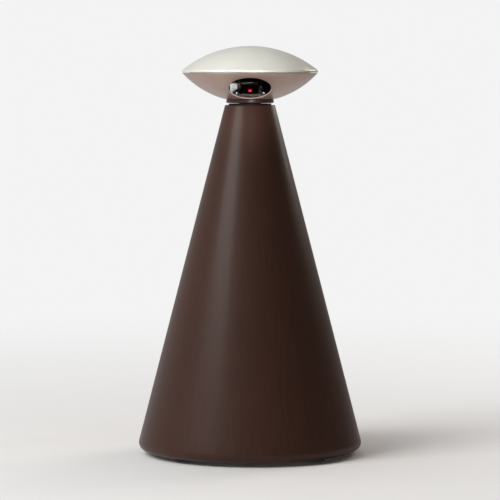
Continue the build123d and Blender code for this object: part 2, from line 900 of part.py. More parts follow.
def motor_magnet(side):
    """One of the two curved magnets in the can."""
    outer = motor_radius - motor_skin
    curve = ring(outer, magnet_inner, armature_low, armature_high)
    keep = block((-magnet_half_height, 0, armature_low), (magnet_half_height, outer, armature_high))
    return motor_place * Rot(0, 0, 90 - 90 * side) * (curve & keep)


def motor_terminal(side):
    """One of the two solder tabs under the motor's cap."""
    tab_low = motor_low - motor_terminal_length
    width, thick = terminal_width / 2, contact_thick / 2
    tab = block((-width, -thick, tab_low), (width, thick, motor_low))
    return motor_place * Pos(0, side * motor_terminal_offset, 0) * tab


def motor_armature():
    """The slotted core of the motor with its commutator."""
    core = rod(armature_radius, armature_low, armature_high)
    half = armature_slot / 2
    for pole in range(armature_poles):
        slot = block((armature_core, -half, armature_low), (armature_radius, half, armature_high))
        core -= Rot(0, 0, pole * 360 / armature_poles) * slot
    core += rod(armature_core, can_low + motor_gap, armature_low)
    return motor_place * (core - rod(shaft_radius, can_low, armature_high))


motor_screw = screw(small_screw_radius, motor_screw_length, small_screw_head_radius, small_screw_head, True)
save("motor_can", motor_can())
save("motor_end_cap", motor_end_cap())
save("motor_magnets", *[motor_magnet(side) for side in (-1, 1)])
save("motor_terminals", *[motor_terminal(side) for side in (-1, 1)])
save("motor_screws", *[Pos(x, y, lower_plate_top) * motor_screw for x, y in motor_screw_places])
save("motor_armature", motor_armature())
save("motor_shaft", rod(shaft_radius, shaft_low, shaft_top, motor_x, motor_y))

# ---------------------------------------------------------------- gears
output_phase = 0.0
small2_phase = meshed_phase(pinion_teeth, output_teeth, output_phase, gear2_angle)
large2_phase = small2_phase
to_gear1 = bearing((gear2_x, gear2_y), (gear1_x, gear1_y))
small1_phase = meshed_phase(pinion_teeth, wheel_teeth, large2_phase, to_gear1)
large1_phase = small1_phase
to_motor = bearing((gear1_x, gear1_y), (motor_x, motor_y))
motor_phase = meshed_phase(pinion_teeth, wheel_teeth, large1_phase, to_motor)


def compound_gear(level, large_phase, small_phase, x, y):
    """A large gear with a pinion on the level above it, on one long hub."""
    shape = gear(wheel_teeth, levels[level], levels[level] + gear_face, large_phase)
    shape += gear(pinion_teeth, levels[level] + gear_face, levels[level + 1] + gear_face, small_phase)
    shape += rod(hub_radius, lower_plate_top + hub_end_gap, upper_plate_z - hub_end_gap)
    shape -= rod(axle_radius + axle_gap, lower_plate_top, upper_plate_z)
    return Pos(x, y, 0) * shape


def output_gear():
    """The gear pressed on the foot of the drive tube."""
    shape = gear(output_teeth, levels[2], levels[2] + gear_face, output_phase)
    shape += rod(output_hub_radius, levels[2], upper_plate_z - gear_hub_clearance)
    return shape - rod(tube_radius, levels[2], upper_plate_z)


def motor_pinion():
    """The small gear pressed on the motor's shaft."""
    shape = gear(pinion_teeth, levels[0], levels[0] + gear_face, motor_phase)
    return Pos(motor_x, motor_y, 0) * (shape - rod(shaft_radius, levels[0], levels[0] + gear_face))


save("compound_gear_1", compound_gear(0, large1_phase, small1_phase, gear1_x, gear1_y))
save("compound_gear_2", compound_gear(1, large2_phase, small2_phase, gear2_x, gear2_y))
save("output_gear", output_gear())
save("motor_pinion", motor_pinion())


# ---------------------------------------------------------------- laser
lens_top = laser_top - laser_lens_inset


def laser_barrel():
    """The brass barrel of the laser, with the lens seat in its top."""
    barrel = rod(laser_radius, laser_z, laser_top)
    return barrel - rod(laser_lens_radius, lens_top - laser_lens_thick, laser_top)


save("laser_barrel", laser_barrel())
save("laser_lens", rod(laser_lens_radius, lens_top - laser_lens_thick, lens_top))


# ---------------------------------------------------------------- neck bearing, drive tube and collar
def neck_bushing():
    """The flanged bearing bush pressed into the cone's crown."""
    bush = rod(bushing_radius, bushing_low, cone_top_z)
    bush += rod(cone_top_radius - bushing_flange_inset, cone_top_z, cone_top_z + bushing_flange)
    return bush - rod(tube_radius + tube_gap, bushing_low, neck_seat)


clip_top = bushing_low - turn_gap
clip_low = clip_top - clip_thick


def tube_screw_places():
    """x and y of the screws that clamp the head to the drive tube."""
    return [polar(tube_screw_circle, angle) for angle in tube_screw_angles]


def drive_tube():
    """The hollow tube that turns the head, with its clip groove and the flange under the bowl."""
    tube = rod(tube_radius, tube_foot_z, bowl_floor) + rod(flange_radius, neck_seat, bowl_bottom)
    tube -= rod(tube_bore, tube_foot_z, bowl_floor)
    tube -= ring(tube_radius, tube_radius - clip_groove, clip_low, clip_top)
    for x, y in tube_screw_places():
        tube -= rod(small_screw_radius + thread_gap, neck_seat, bowl_bottom, x, y)
    return tube


def retaining_clip():
    """The open spring clip that keeps the drive tube from lifting out of its bearing."""
    clip = ring(tube_radius + clip_reach, tube_radius - clip_groove, clip_low, clip_top)
    outer = tube_radius + clip_reach
    return clip - block((-clip_mouth / 2, 0, clip_low), (clip_mouth / 2, outer, clip_top))


def neck_collar():
    """The thin ring round the drive tube's flange."""
    collar = rod(collar_radius, neck_seat, bowl_bottom)
    collar = fillet(collar.edges(), collar_round)
    return collar - rod(flange_radius, neck_seat, bowl_bottom)


save("neck_bushing", neck_bushing())
save("drive_tube", drive_tube())
save("retaining_clip", retaining_clip())
save("neck_collar", neck_collar())

# ---------------------------------------------------------------- head
chord_out = disc_radius - bowl_foot_radius
chord = sqrt(chord_out**2 + bowl_depth**2)
bowl_arc = chord**2 / (8 * bowl_belly) + bowl_belly / 2
arc_reach = (bowl_arc - bowl_belly) / chord
arc_r = (disc_radius + bowl_foot_radius) / 2 - arc_reach * bowl_depth
arc_z = (seam_z + bowl_bottom) / 2 + arc_reach * chord_out
dome_arc_height = dome_height - rim_band
dome_arc = (disc_radius**2 + dome_arc_height**2) / (2 * dome_arc_height)
dome_centre = seam_z + dome_height - dome_arc


def bowl_radius(z, inset=0.0):
    """Radius of the bowl's profile at height z, inset from its outer face."""
    return arc_r + sqrt((bowl_arc - inset) ** 2 - (z - arc_z) ** 2)


def bowl_solid(inset, low, high):
    """The space inside the bowl, inset from its outer face, between two heights."""
    middle = (low + high) / 2
    side = ThreePointArc(
        (bowl_radius(low, inset), low), (bowl_radius(middle, inset), middle), (bowl_radius(high, inset), high)
    )
    ends = Polyline((bowl_radius(high, inset), high), (0, high), (0, low), (bowl_radius(low, inset), low))
    return turned([side, ends])


def dome_solid(inset, low, band_top):
    """The space inside the dome, inset from its outer face: a short band under a cap."""
    cap_radius = dome_arc - inset
    cap_edge = sqrt(cap_radius**2 - (band_top - dome_centre) ** 2)
    top = dome_centre + cap_radius
    mid_r = cap_edge / 2
    cap = ThreePointArc((cap_edge, band_top), (mid_r, dome_centre + sqrt(cap_radius**2 - mid_r**2)), (0, top))
    sides = Polyline((0, top), (0, low), (cap_edge, low), (cap_edge, band_top))
    return turned([cap, sides])


def head_screw_places():
    """x and y of the screws that join the bowl to the dome."""
    return [polar(head_screw_circle, angle) for angle in head_screw_angles]


def window_prism(start):
    """The window's elliptical opening, cut forward from a distance in front of the axis."""
    oval = Plane.XZ * Pos(0, (window_low + window_top) / 2) * Ellipse(
        window_half_width, (window_top - window_low) / 2
    )
    return Pos(0, -start, 0) * extrude(oval, disc_radius)


def head_dome():
    """The dome with its rim band, the lip that locates it in the bowl, and its screw posts."""
    dome = dome_solid(0, dome_low, seam_z + rim_band)
    hollow = dome_solid(disc_wall, dome_low, seam_z + rim_band)
    lip_low = seam_z - locating_lip_height
    lip_outer = bowl_radius(lip_low, disc_wall) - locating_lip_gap
    shell = dome - hollow
    shell += ring(lip_outer, lip_outer - locating_lip, lip_low, seam_z + rim_band)
    post_low = seam_z - head_post_drop + seam_gap
    for x, y in head_screw_places():
        shell += rod(head_post_radius, post_low, seam_z + rim_band, x, y)
        shell += rod(head_post_radius, seam_z + rim_band, seam_z + dome_height, x, y) & hollow
    for x, y in head_screw_places():
        shell -= rod(screw_radius + thread_gap, post_low, post_low + head_screw_bite, x, y)
    shell += ring(disc_radius - disc_wall / 2, lip_outer - locating_lip, dome_low, seam_z + rim_band)
    return shell


def head_bowl():
    """The bowl with its oval window, its screw posts and the seat for the drive tube."""
    bowl = bowl_solid(0, bowl_bottom, seam_z)
    hollow = bowl_solid(disc_wall, bowl_floor, seam_z)
    bowl -= hollow
    post_top = seam_z - head_post_drop
    seat = seam_z - head_seat_drop
    for x, y in head_screw_places():
        bowl += rod(head_post_radius, bowl_floor, post_top, x, y) & bowl_solid(0, bowl_bottom, seam_z)
    for x, y in head_screw_places():
        bowl -= rod(screw_head_radius + screw_hole_gap, bowl_bottom, seat, x, y)
        bowl -= rod(screw_radius + screw_hole_gap, seat, post_top, x, y)
    bowl -= rod(tube_radius + spigot_gap, bowl_bottom, bowl_floor)
    for x, y in tube_screw_places():
        bowl -= rod(small_screw_radius + screw_hole_gap, bowl_bottom, bowl_floor, x, y)
    return bowl - window_prism(window_start)


save("head_dome", head_dome())
save("head_bowl", head_bowl())
seat_to_post = head_seat_drop - head_post_drop + seam_gap
head_screw_length = screw_head + seat_to_post + head_screw_bite - 2 * thread_gap
head_screw = upside_down(screw(screw_radius, head_screw_length, screw_head_radius, screw_head))
head_screw_z = seam_z - head_seat_drop - screw_head
save("head_screws", *[Pos(x, y, head_screw_z) * head_screw for x, y in head_screw_places()])


# ---------------------------------------------------------------- mirror and its housing
def mirror_housing():
    """The black lining between the window and the mirror, with the mirror's two ears."""
    roof = seam_z - locating_lip_height - cup_roof_gap
    fill = bowl_solid(disc_wall + cup_gap, bowl_floor, seam_z)
    outer = block((-cup_half_width, -disc_radius, bowl_floor), (cup_half_width, cup_back, roof))
    inner_half = cup_half_width - cup_wall
    cavity = block(
        (-inner_half, -disc_radius, bowl_floor + cup_wall), (inner_half, cup_back - cup_wall, roof - cup_wall)
    )
    housing = (outer & fill) - cavity
    for side in (-1, 1):
        ear = rod(ear_radius, ear_inner, ear_outer) if side > 0 else rod(ear_radius, -ear_outer, -ear_inner)
        low_x = min(side * ear_inner, side * ear_outer)
        hanger = block(
            (low_x, -ear_radius, pivot_z), (low_x + ear_thick, ear_radius, roof - cup_wall)
        )
        housing += Pos(0, 0, pivot_z) * along_x(ear) + hanger
    housing -= Pos(0, 0, pivot_z) * along_x(rod(trunnion_radius + trunnion_gap, -ear_outer, ear_outer))
    housing -= window_prism(cup_front)
    housing -= rod(cup_floor_hole, bowl_floor, bowl_floor + cup_wall)
    for x, y in tube_screw_places():
        housing -= rod(small_screw_radius + screw_hole_gap, bowl_floor, bowl_floor + cup_wall, x, y)
    return housing


tilted = Pos(0, 0, pivot_z) * Rot(-mirror_rest_tilt, 0, 0)


def mirror_carrier():
    """The plate that holds the mirror, with a trunnion at each end. The left one carries the knob."""
    half_depth = mirror_depth / 2 + carrier_margin
    half_thick = carrier_thick / 2
    plate = block((-carrier_half, -half_depth, -half_thick), (carrier_half, half_depth, half_thick))
    pin = rod(trunnion_radius, knob_wheel_x - knob_wheel / 2, ear_outer + trunnion_end)
    return tilted * (plate + along_x(pin) - mirror_blank(trunnion_radius))


def mirror_blank(deep):
    """The block under the carrier's plate that is kept free for the glass."""
    half_thick = carrier_thick / 2
    return block(
        (-carrier_half, -mirror_depth, -half_thick - deep), (carrier_half, mirror_depth, -half_thick)
    )


def mirror_glass():
    """The small flat mirror, glued under its carrier."""
    top = -carrier_thick / 2
    return tilted * block(
        (-mirror_width / 2, -mirror_depth / 2, top - mirror_thick), (mirror_width / 2, mirror_depth / 2, top)
    )


def tilt_knob():
    """The bright grooved knob on the left trunnion, tapered toward the mirror."""
    wheel = rod(knob_radius, knob_end_x, knob_wheel_x)
    for number in range(knob_grooves):
        wheel -= rod(knob_groove, knob_end_x, knob_wheel_x, *polar(knob_radius, number * 360 / knob_grooves))
    wheel += taper_rod(knob_radius - knob_groove, knob_tip_radius, knob_wheel_x, knob_tip_x)
    wheel -= rod(trunnion_radius, knob_wheel_x - knob_wheel / 2, knob_tip_x)
    return tilted * along_x(wheel)


save("mirror_housing", mirror_housing())
save("mirror_carrier", mirror_carrier())
save("mirror_glass", mirror_glass())
save("tilt_knob", tilt_knob())
tube_screw_length = small_screw_head + cup_wall + disc_wall + flange_thick
tube_screw = screw(small_screw_radius, tube_screw_length, small_screw_head_radius, small_screw_head)
tube_screw_top = bowl_floor + cup_wall + small_screw_head
save("tube_screws", *[Pos(x, y, tube_screw_top) * tube_screw for x, y in tube_screw_places()])

# ---------------------------------------------------------------- wires
socket_face = board_inner - socket_depth
battery_slot, laser_slot, motor_slot = socket_pitch, -socket_pitch, 0.0
cell_edge_y = bay_half_y - cell_pitch / 2
terminal_x = contact_x + contact_thick / 2
plus_x, plus_y = beside_motor(motor_terminal_offset)
minus_x, minus_y = beside_motor(-motor_terminal_offset)
motor_terminal_end = motor_low - motor_terminal_length

save("battery_wire_red", wire(
    (terminal_x, cell_edge_y, terminal_top), (terminal_x, cell_edge_y, 33), (22, 20.5, 42),
    (battery_slot + wire_offset, 17.5, socket_z), (battery_slot + wire_offset, socket_face, socket_z),
))
save("battery_wire_black", wire(
    (terminal_x, -cell_edge_y, terminal_top), (terminal_x, -cell_edge_y, 34), (23, -8, 42),
    (battery_slot - wire_offset, 13, socket_z), (battery_slot - wire_offset, socket_face, socket_z),
))
save("motor_wire_red", wire(
    (plus_x, plus_y, motor_terminal_end), (plus_x, plus_y, 73),
    (motor_slot + wire_offset + 1, 13, 55),
    (motor_slot + wire_offset, 18, socket_z), (motor_slot + wire_offset, socket_face, socket_z),
))
save("motor_wire_black", wire(
    (minus_x, minus_y, motor_terminal_end), (minus_x, minus_y, 70),
    (motor_slot - wire_offset + 1, 11, 54),
    (motor_slot - wire_offset, 17, socket_z), (motor_slot - wire_offset, socket_face, socket_z),
))
save("laser_wire_red", wire(
    (laser_lead_offset, 0, laser_z), (laser_lead_offset, 0, 89), (laser_slot + 3, 4, 66),
    (laser_slot + wire_offset, 14, socket_z), (laser_slot + wire_offset, socket_face, socket_z),
))
save("laser_wire_black", wire(
    (-laser_lead_offset, 0, laser_z), (-laser_lead_offset, 0, 88), (laser_slot, 3, 65),
    (laser_slot - wire_offset, 14, socket_z), (laser_slot - wire_offset, socket_face, socket_z),
))
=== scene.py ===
"""The automatic cat laser toy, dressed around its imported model, in the order in which it is put together."""

import math

import bmesh
import bpy
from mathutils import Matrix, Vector


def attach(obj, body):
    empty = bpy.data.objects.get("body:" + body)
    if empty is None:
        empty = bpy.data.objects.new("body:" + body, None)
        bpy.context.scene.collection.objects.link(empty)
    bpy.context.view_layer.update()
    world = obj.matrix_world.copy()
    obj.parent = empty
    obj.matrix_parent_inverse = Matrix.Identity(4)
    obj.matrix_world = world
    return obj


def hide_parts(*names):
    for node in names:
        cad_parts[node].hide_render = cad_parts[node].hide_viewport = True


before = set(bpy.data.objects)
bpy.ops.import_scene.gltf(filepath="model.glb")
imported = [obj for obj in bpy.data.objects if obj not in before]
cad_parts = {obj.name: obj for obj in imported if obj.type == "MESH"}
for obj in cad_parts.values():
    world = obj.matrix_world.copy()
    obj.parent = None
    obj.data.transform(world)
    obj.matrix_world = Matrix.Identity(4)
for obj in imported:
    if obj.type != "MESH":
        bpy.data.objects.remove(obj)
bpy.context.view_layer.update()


# ------------------------------------------------------------------ base plate
# The floor of the toy and its battery bay are one black moulding in textured ABS. It drops into the lip of
# the cone, and three screws hold it. The cells lie in the bay, and the board stands in two rails behind it.
def screen(red, green, blue):
    """A colour given as 0 to 255 on a screen, as the shader takes it."""
    levels = (red / 255, green / 255, blue / 255)
    return (*(((level + 0.055) / 1.055) ** 2.4 if level > 0.04045 else level / 12.92 for level in levels), 1)


def new_finish(name, roughness, metallic=0.0, **sockets):
    """An empty finish: its material, its node tree and its shader.

    An underscore in a socket's name stands for a space.
    """
    material = bpy.data.materials.new(name)
    material.use_nodes = True
    tree = material.node_tree
    shader = tree.nodes["Principled BSDF"]
    for socket, value in {"Roughness": roughness, "Metallic": metallic, **sockets}.items():
        shader.inputs[socket.replace("_", " ")].default_value = value
    return material, tree, shader


def add(tree, kind, inputs=(), **settings):
    """A new node of a kind, with settings. An input takes another node's output or a plain value."""
    made = tree.nodes.new("ShaderNode" + kind)
    for key, value in settings.items():
        setattr(made, key, value)
    for socket, value in dict(inputs).items():
        if isinstance(value, bpy.types.NodeSocket):
            tree.links.new(value, made.inputs[socket])
        else:
            made.inputs[socket].default_value = value
    return made


def place(tree, stretch=(1, 1, 1)):
    """Where a point lies on the object in metres, times a stretch along each axis."""
    spot = add(tree, "TexCoord").outputs["Object"]
    return add(tree, "Mapping", {"Vector": spot, "Scale": stretch}).outputs["Vector"]


def noise(tree, size, stretch=(1, 1, 1), detail=3.0, where=None):
    """Noise from 0 to 1 whose features are size metres across, finer along an axis that is stretched."""
    inputs = {"Vector": where or place(tree, stretch), "Scale": 1 / size, "Detail": detail}
    return add(tree, "TexNoise", inputs).outputs["Fac"]


def shade(tree, share, dark, light, low=0.3, high=0.7):
    """A colour that goes from dark to light as share goes from low to high."""
    ramp = add(tree, "ValToRGB", {"Fac": share})
    for element, position, colour in zip(ramp.color_ramp.elements, (low, high), (dark, light)):
        element.position, element.color = position, colour
    return ramp.outputs["Color"]


def ranged(tree, share, low, high, start=0.3, end=0.7):
    """A number that goes from low to high as share goes from start to end."""
    inputs = {"Value": share, "From Min": start, "From Max": end, "To Min": low, "To Max": high}
    return add(tree, "MapRange", inputs).outputs["Result"]


def relief(tree, shader, height, depth):
    """Bumps of a depth in metres, from a height of 0 to 1."""
    bump = add(tree, "Bump", {"Height": height, "Distance": depth, "Strength": 1.0})
    tree.links.new(bump.outputs["Normal"], shader.inputs["Normal"])


def mottled(name, dark, light, rough, size, depth, metallic=0.0, stretch=(1, 1, 1), **sockets):
    """A finish clouded between two colours and two roughnesses, with a fine grain of a size and depth."""
    cloud_size, patch_size = size * 9, size * 4
    material, tree, shader = new_finish(name, rough[0], metallic, **sockets)
    cloud = noise(tree, cloud_size, stretch)
    tree.links.new(shade(tree, cloud, dark, light), shader.inputs["Base Color"])
    tree.links.new(ranged(tree, noise(tree, patch_size, stretch), *rough), shader.inputs["Roughness"])
    relief(tree, shader, noise(tree, size, stretch, detail=2.0), depth)
    return material


def dress(finish, *nodes):
    """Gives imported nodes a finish."""
    for node in nodes:
        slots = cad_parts[node].data.materials
        slots.clear()
        slots.append(finish)


base_black = mottled(
    "base_black_textured", screen(40, 36, 34), screen(47, 42, 40), (0.5, 0.6), 0.0005, 0.00006
)
dress(base_black, "base_plate")

# ------------------------------------------------------------------ battery contacts and springs
# The contacts are nickel-plated spring steel strips that slide into slots of the bay, and each cell has a
# coiled spring against its negative end. The plating is bright, with fine rolling lines along the strip.
contact_nickel = mottled(
    "contact_nickel", screen(176, 172, 160), screen(206, 202, 190), (0.2, 0.34), 0.0003, 0.000006, 1.0,
    (1, 6, 1),
)
dress(contact_nickel, "battery_contacts")
spring_steel = mottled(
    "spring_steel", screen(186, 186, 190), screen(222, 222, 226), (0.14, 0.24), 0.0002, 0.000004, 1.0
)
dress(spring_steel, "battery_springs")


# ------------------------------------------------------------------ battery cells
# Four AA cells are steel cans in a plastic jacket that is shrunk on, dark with a copper-coloured positive end
# and nothing printed on it. The jacket stops short of both ends, where bare plated steel shows.
def maths(tree, operation, first, second=0.0):
    """One sum on numbers."""
    return add(tree, "Math", {0: first, 1: second}, operation=operation).outputs["Value"]


def blend_colours(tree, share, first, second):
    """The first colour where share is 0, and the second where it is 1."""
    return add(tree, "MixRGB", {"Fac": share, "Color1": first, "Color2": second}).outputs["Color"]


def cell_jacket(name, positive):
    """The jacket of cells whose positive end points along X one way or the other."""
    material, tree, shader = new_finish(name, 0.3, Coat_Weight=0.6, Coat_Roughness=0.12)
    jacket_end, band_start, cell_shift, band_metallic = 0.0243, 0.0125, 0.0025, 0.6
    spot = add(tree, "SeparateXYZ", {"Vector": place(tree)}).outputs["X"]
    along = maths(tree, "SUBTRACT", maths(tree, "MULTIPLY", spot, positive), cell_shift)
    bare = maths(tree, "GREATER_THAN", maths(tree, "ABSOLUTE", along), jacket_end)
    band = maths(tree, "GREATER_THAN", along, band_start)
    cloud = noise(tree, 0.004)
    film = shade(tree, cloud, screen(34, 38, 46), screen(42, 47, 56))
    copper = shade(tree, cloud, screen(168, 104, 62), screen(184, 118, 74))
    plated = shade(tree, cloud, screen(190, 188, 182), screen(212, 210, 205))
    colour = blend_colours(tree, bare, blend_colours(tree, band, film, copper), plated)
    tree.links.new(colour, shader.inputs["Base Color"])
    band_metal = maths(tree, "MULTIPLY", band, band_metallic)
    tree.links.new(maths(tree, "MAXIMUM", bare, band_metal), shader.inputs["Metallic"])
    tree.links.new(ranged(tree, cloud, 0.24, 0.36), shader.inputs["Roughness"])
    relief(tree, shader, noise(tree, 0.0006), 0.000008)
    return material


dress(cell_jacket("cell_jacket_left", -1.0), "battery_cell_1", "battery_cell_3")
dress(cell_jacket("cell_jacket_right", 1.0), "battery_cell_2", "battery_cell_4")


# ------------------------------------------------------------------ circuit board and what is soldered to it
# The board is glass epoxy under green solder mask, with copper tracks that show through it. The chip is
# black epoxy, the capacitor an aluminium can in a sleeve, and the wire sockets and key switch are moulded.
def board_mask():
    """Green solder mask, a little raised and lighter over the copper tracks."""
    material, tree, shader = new_finish("board_solder_mask", 0.34, Coat_Weight=0.4, Coat_Roughness=0.2)
    spot = place(tree)
    flat = add(tree, "SeparateXYZ", {"Vector": spot})
    plane = add(tree, "CombineXYZ", {"X": flat.outputs["X"], "Y": flat.outputs["Z"]}).outputs["Vector"]
    tracks = add(tree, "TexBrick", {
        "Vector": plane, "Scale": 260.0, "Mortar Size": 0.09, "Mortar Smooth": 0.3,
        "Color1": (0, 0, 0, 1), "Color2": (0, 0, 0, 1), "Mortar": (1, 1, 1, 1),
        "Brick Width": 0.9, "Row Height": 0.42,
    }, offset=0.37, squash=0.6, squash_frequency=3)
    cloud = noise(tree, 0.003)
    mask = shade(tree, cloud, screen(18, 66, 40), screen(26, 82, 50))
    over_copper = shade(tree, cloud, screen(42, 112, 66), screen(52, 126, 76))
    colour = blend_colours(tree, tracks.outputs["Fac"], mask, over_copper)
    tree.links.new(colour, shader.inputs["Base Color"])
    tree.links.new(ranged(tree, cloud, 0.3, 0.42), shader.inputs["Roughness"])
    relief(tree, shader, tracks.outputs["Fac"], 0.00003)
    return material


dress(board_mask(), "circuit_board")
dress(
    mottled("chip_epoxy", screen(20, 20, 22), screen(30, 30, 32), (0.5, 0.65), 0.0002, 0.00001),
    "control_chip",
)
dress(
    mottled("capacitor_sleeve", screen(24, 30, 62), screen(34, 42, 78), (0.26, 0.36), 0.0006, 0.000006),
    "capacitor",
)
dress(
    mottled("socket_nylon", screen(222, 218, 204), screen(236, 233, 222), (0.42, 0.54), 0.0004, 0.00001,
            Subsurface_Weight=0.05),
    "wire_sockets",
)
dress(
    mottled("switch_black", screen(26, 26, 28), screen(38, 38, 41), (0.42, 0.55), 0.0003, 0.00001),
    "key_switch",
)
dress(
    mottled("plunger_white", screen(214, 212, 204), screen(230, 228, 220), (0.36, 0.48), 0.0004, 0.00001),
    "key_plunger",
)

# ------------------------------------------------------------------ gear plates, axles and chassis screws
# Two grey ABS plates carry the gears on bright steel axles. Three long zinc-plated screws clamp them to the
# bosses inside the cone.
dress(
    mottled("plate_grey", screen(88, 90, 94), screen(106, 108, 112), (0.45, 0.6), 0.0005, 0.00004),
    "lower_gear_plate", "upper_gear_plate",
)
ground_steel = mottled(
    "ground_axle_steel", screen(186, 188, 192), screen(216, 218, 222), (0.1, 0.2), 0.0002, 0.000003, 1.0,
    (1, 1, 0.1),
)
dress(ground_steel, "first_axle", "second_axle")
zinc_screw = mottled(
    "screw_zinc_plate", screen(116, 117, 122), screen(168, 169, 174), (0.24, 0.4), 0.0003, 0.000012, 1.0
)
dress(zinc_screw, "chassis_screws")


# ------------------------------------------------------------------ motor
# A small flat-sided direct-current motor hangs under the lower plate: a drawn steel can with a white nylon
# end cap, two curved ferrite magnets inside, and an armature wound with enamelled copper wire on its shaft.
def winding_copper():
    """Enamelled copper wire, turn beside turn."""
    material, tree, shader = new_finish("winding_copper", 0.28, 1.0, Coat_Weight=0.5, Coat_Roughness=0.15)
    turns = add(tree, "TexWave", {"Vector": place(tree), "Scale": 700.0, "Distortion": 0.6, "Detail": 2.0},
                bands_direction="Z")
    wire = turns.outputs["Fac"]
    tree.links.new(shade(tree, wire, screen(96, 44, 22), screen(196, 112, 66)), shader.inputs["Base Color"])
    tree.links.new(ranged(tree, wire, 0.4, 0.22), shader.inputs["Roughness"])
    relief(tree, shader, wire, 0.00012)
    return material


drawn_steel = mottled(
    "motor_drawn_steel", screen(146, 147, 150), screen(186, 187, 190), (0.22, 0.36), 0.0004, 0.000008, 1.0,
    (4, 4, 0.4),
)
dress(drawn_steel, "motor_can")
dress(
    mottled("end_cap_nylon", screen(218, 216, 206), screen(234, 232, 224), (0.4, 0.52), 0.0004, 0.00001,
            Subsurface_Weight=0.05),
    "motor_end_cap",
)
dress(
    mottled("magnet_ferrite", screen(52, 52, 55), screen(70, 70, 73), (0.5, 0.68), 0.0003, 0.00002),
    "motor_magnets",
)
dress(
    mottled("terminal_brass", screen(178, 150, 92), screen(206, 178, 118), (0.22, 0.36), 0.0003, 0.000008,
            1.0),
    "motor_terminals",
)
dress(winding_copper(), "motor_armature")
dress(ground_steel, "motor_shaft")
dress(zinc_screw, "motor_screws")

# ------------------------------------------------------------------ gears
# The pinion, the two compound gears and the output gear are natural white acetal, a waxy plastic that light
# enters a little. The teeth are moulded, and grease dulls them in patches.
gear_acetal = mottled(
    "gear_acetal", screen(226, 224, 214), screen(240, 238, 230), (0.26, 0.42), 0.0005, 0.00001,
    Subsurface_Weight=0.12, Subsurface_Scale=0.002,
)
dress(gear_acetal, "motor_pinion", "compound_gear_1", "compound_gear_2", "output_gear")

# ------------------------------------------------------------------ laser
# The laser is a turned brass barrel that stands on the axis under the hollow drive tube. A small red-tinted
# lens closes its top, and light comes out of it upward.
dress(
    mottled("laser_brass", screen(172, 134, 70), screen(206, 170, 100), (0.18, 0.32), 0.0003, 0.000006, 1.0,
            (1, 1, 8)),
    "laser_barrel",
)
lens_red, lens_tree, lens_shader = new_finish(
    "laser_lens_red", 0.04, IOR=1.5, Coat_Weight=1.0, Coat_Roughness=0.02
)
lens_cloud = noise(lens_tree, 0.001)
lens_tree.links.new(shade(lens_tree, lens_cloud, screen(150, 8, 8), screen(190, 16, 12)),
                    lens_shader.inputs["Base Color"])
lens_shader.inputs["Emission Color"].default_value = (1, 0.02, 0.01, 1)
lens_shader.inputs["Emission Strength"].default_value = 3.0
dress(lens_red, "laser_lens")


# ------------------------------------------------------------------ leads
# Six thin stranded leads in soft vinyl run from the contacts, the motor and the laser to the board's
# sockets, red for plus and black for minus.
def vinyl(name, dark, light):
    """The soft jacket of a lead, in one colour."""
    return mottled(name, dark, light, (0.34, 0.46), 0.0004, 0.00001, Coat_Weight=0.15, Coat_Roughness=0.3)


red_vinyl = vinyl("wire_red_vinyl", screen(160, 22, 18), screen(188, 36, 28))
black_vinyl = vinyl("wire_black_vinyl", screen(20, 20, 22), screen(34, 34, 37))
for lead in ("battery", "motor", "laser"):
    dress(red_vinyl, f"{lead}_wire_red")
    dress(black_vinyl, f"{lead}_wire_black")


# ------------------------------------------------------------------ cone shell
# The tall hollow cone is one injection moulding in dark brown plastic, polished to a satin with faint
# streaks up its length. It has a rounded foot, bosses for the screws, and a bored guide in its back for the
# power button.
mm = 0.001
foot_radius, crown_radius, crown_z = 62.5, 13.6, 190.0
cone_low, lip_inner, lip_top = 2.0, 55.985, 7.0
foot_round, crown_round = 4.0, 0.6
cone_wall, crown_thick, crown_bore = 2.2, 2.5, 9.5
button_z, button_bore, bore_edge = 34.0, 6.25, 0.3
guide_radius, guide_end = 8.05, 46.478
taper = (foot_radius - crown_radius) / crown_z
slant = math.sqrt(1 + taper**2)
slope_angle = math.atan(taper)


def cone_radius(z, inset=0.0):
    """Radius of the cone's wall at a height, inset square to its outer face."""
    return foot_radius - taper * z - inset * slant


def on_profile(profile, angle, step):
    """The point in millimetres on a turned skin, at an angle about Z and a step along its profile."""
    radius, height = profile(step)
    return Vector((radius * math.cos(angle), radius * math.sin(angle), height))


def loop_of(mesh, points):
    """New vertices at points given in millimetres."""
    return [mesh.verts.new(point * mm) for point in points]


def bridge(mesh, *loops, finish=0):
    """Faces in one of the piece's finishes between each closed loop and the next one as long."""
    for first, second in zip(loops, loops[1:]):
        for here in range(len(first)):
            after = (here + 1) % len(first)
            mesh.faces.new((first[here], first[after], second[after], second[here])).material_index = finish


def turned_line(mesh, line, columns):
    """A skin turned about Z from a line of radii and heights. Returns its first and last loops."""
    turn = 2 * math.pi / columns
    loops = [
        loop_of(mesh, [on_profile(lambda step: step, turn * column, spot) for column in range(columns)])
        for spot in line
    ]
    bridge(mesh, *loops)
    return loops[0], loops[-1]


def corner(radius, height, round_radius, start, end, count=8):
    """Radii and heights round a corner whose centre is given, between two angles in radians."""
    turns = [start + (end - start) * step / count for step in range(count + 1)]
    return [(radius + round_radius * math.cos(a), height + round_radius * math.sin(a)) for a in turns]


def rim_turns(opening):
    """The direction about an opening's middle of each vertex round its rim, from the lower left corner on."""
    lower_left, quarter = 225, 90
    (left, right), (low, high) = opening["columns"], opening["rows"]
    sides = (right - left, high - low) * 2
    return [
        math.radians(lower_left + quarter * (side + along / count))
        for side, count in enumerate(sides)
        for along in range(count)
    ]


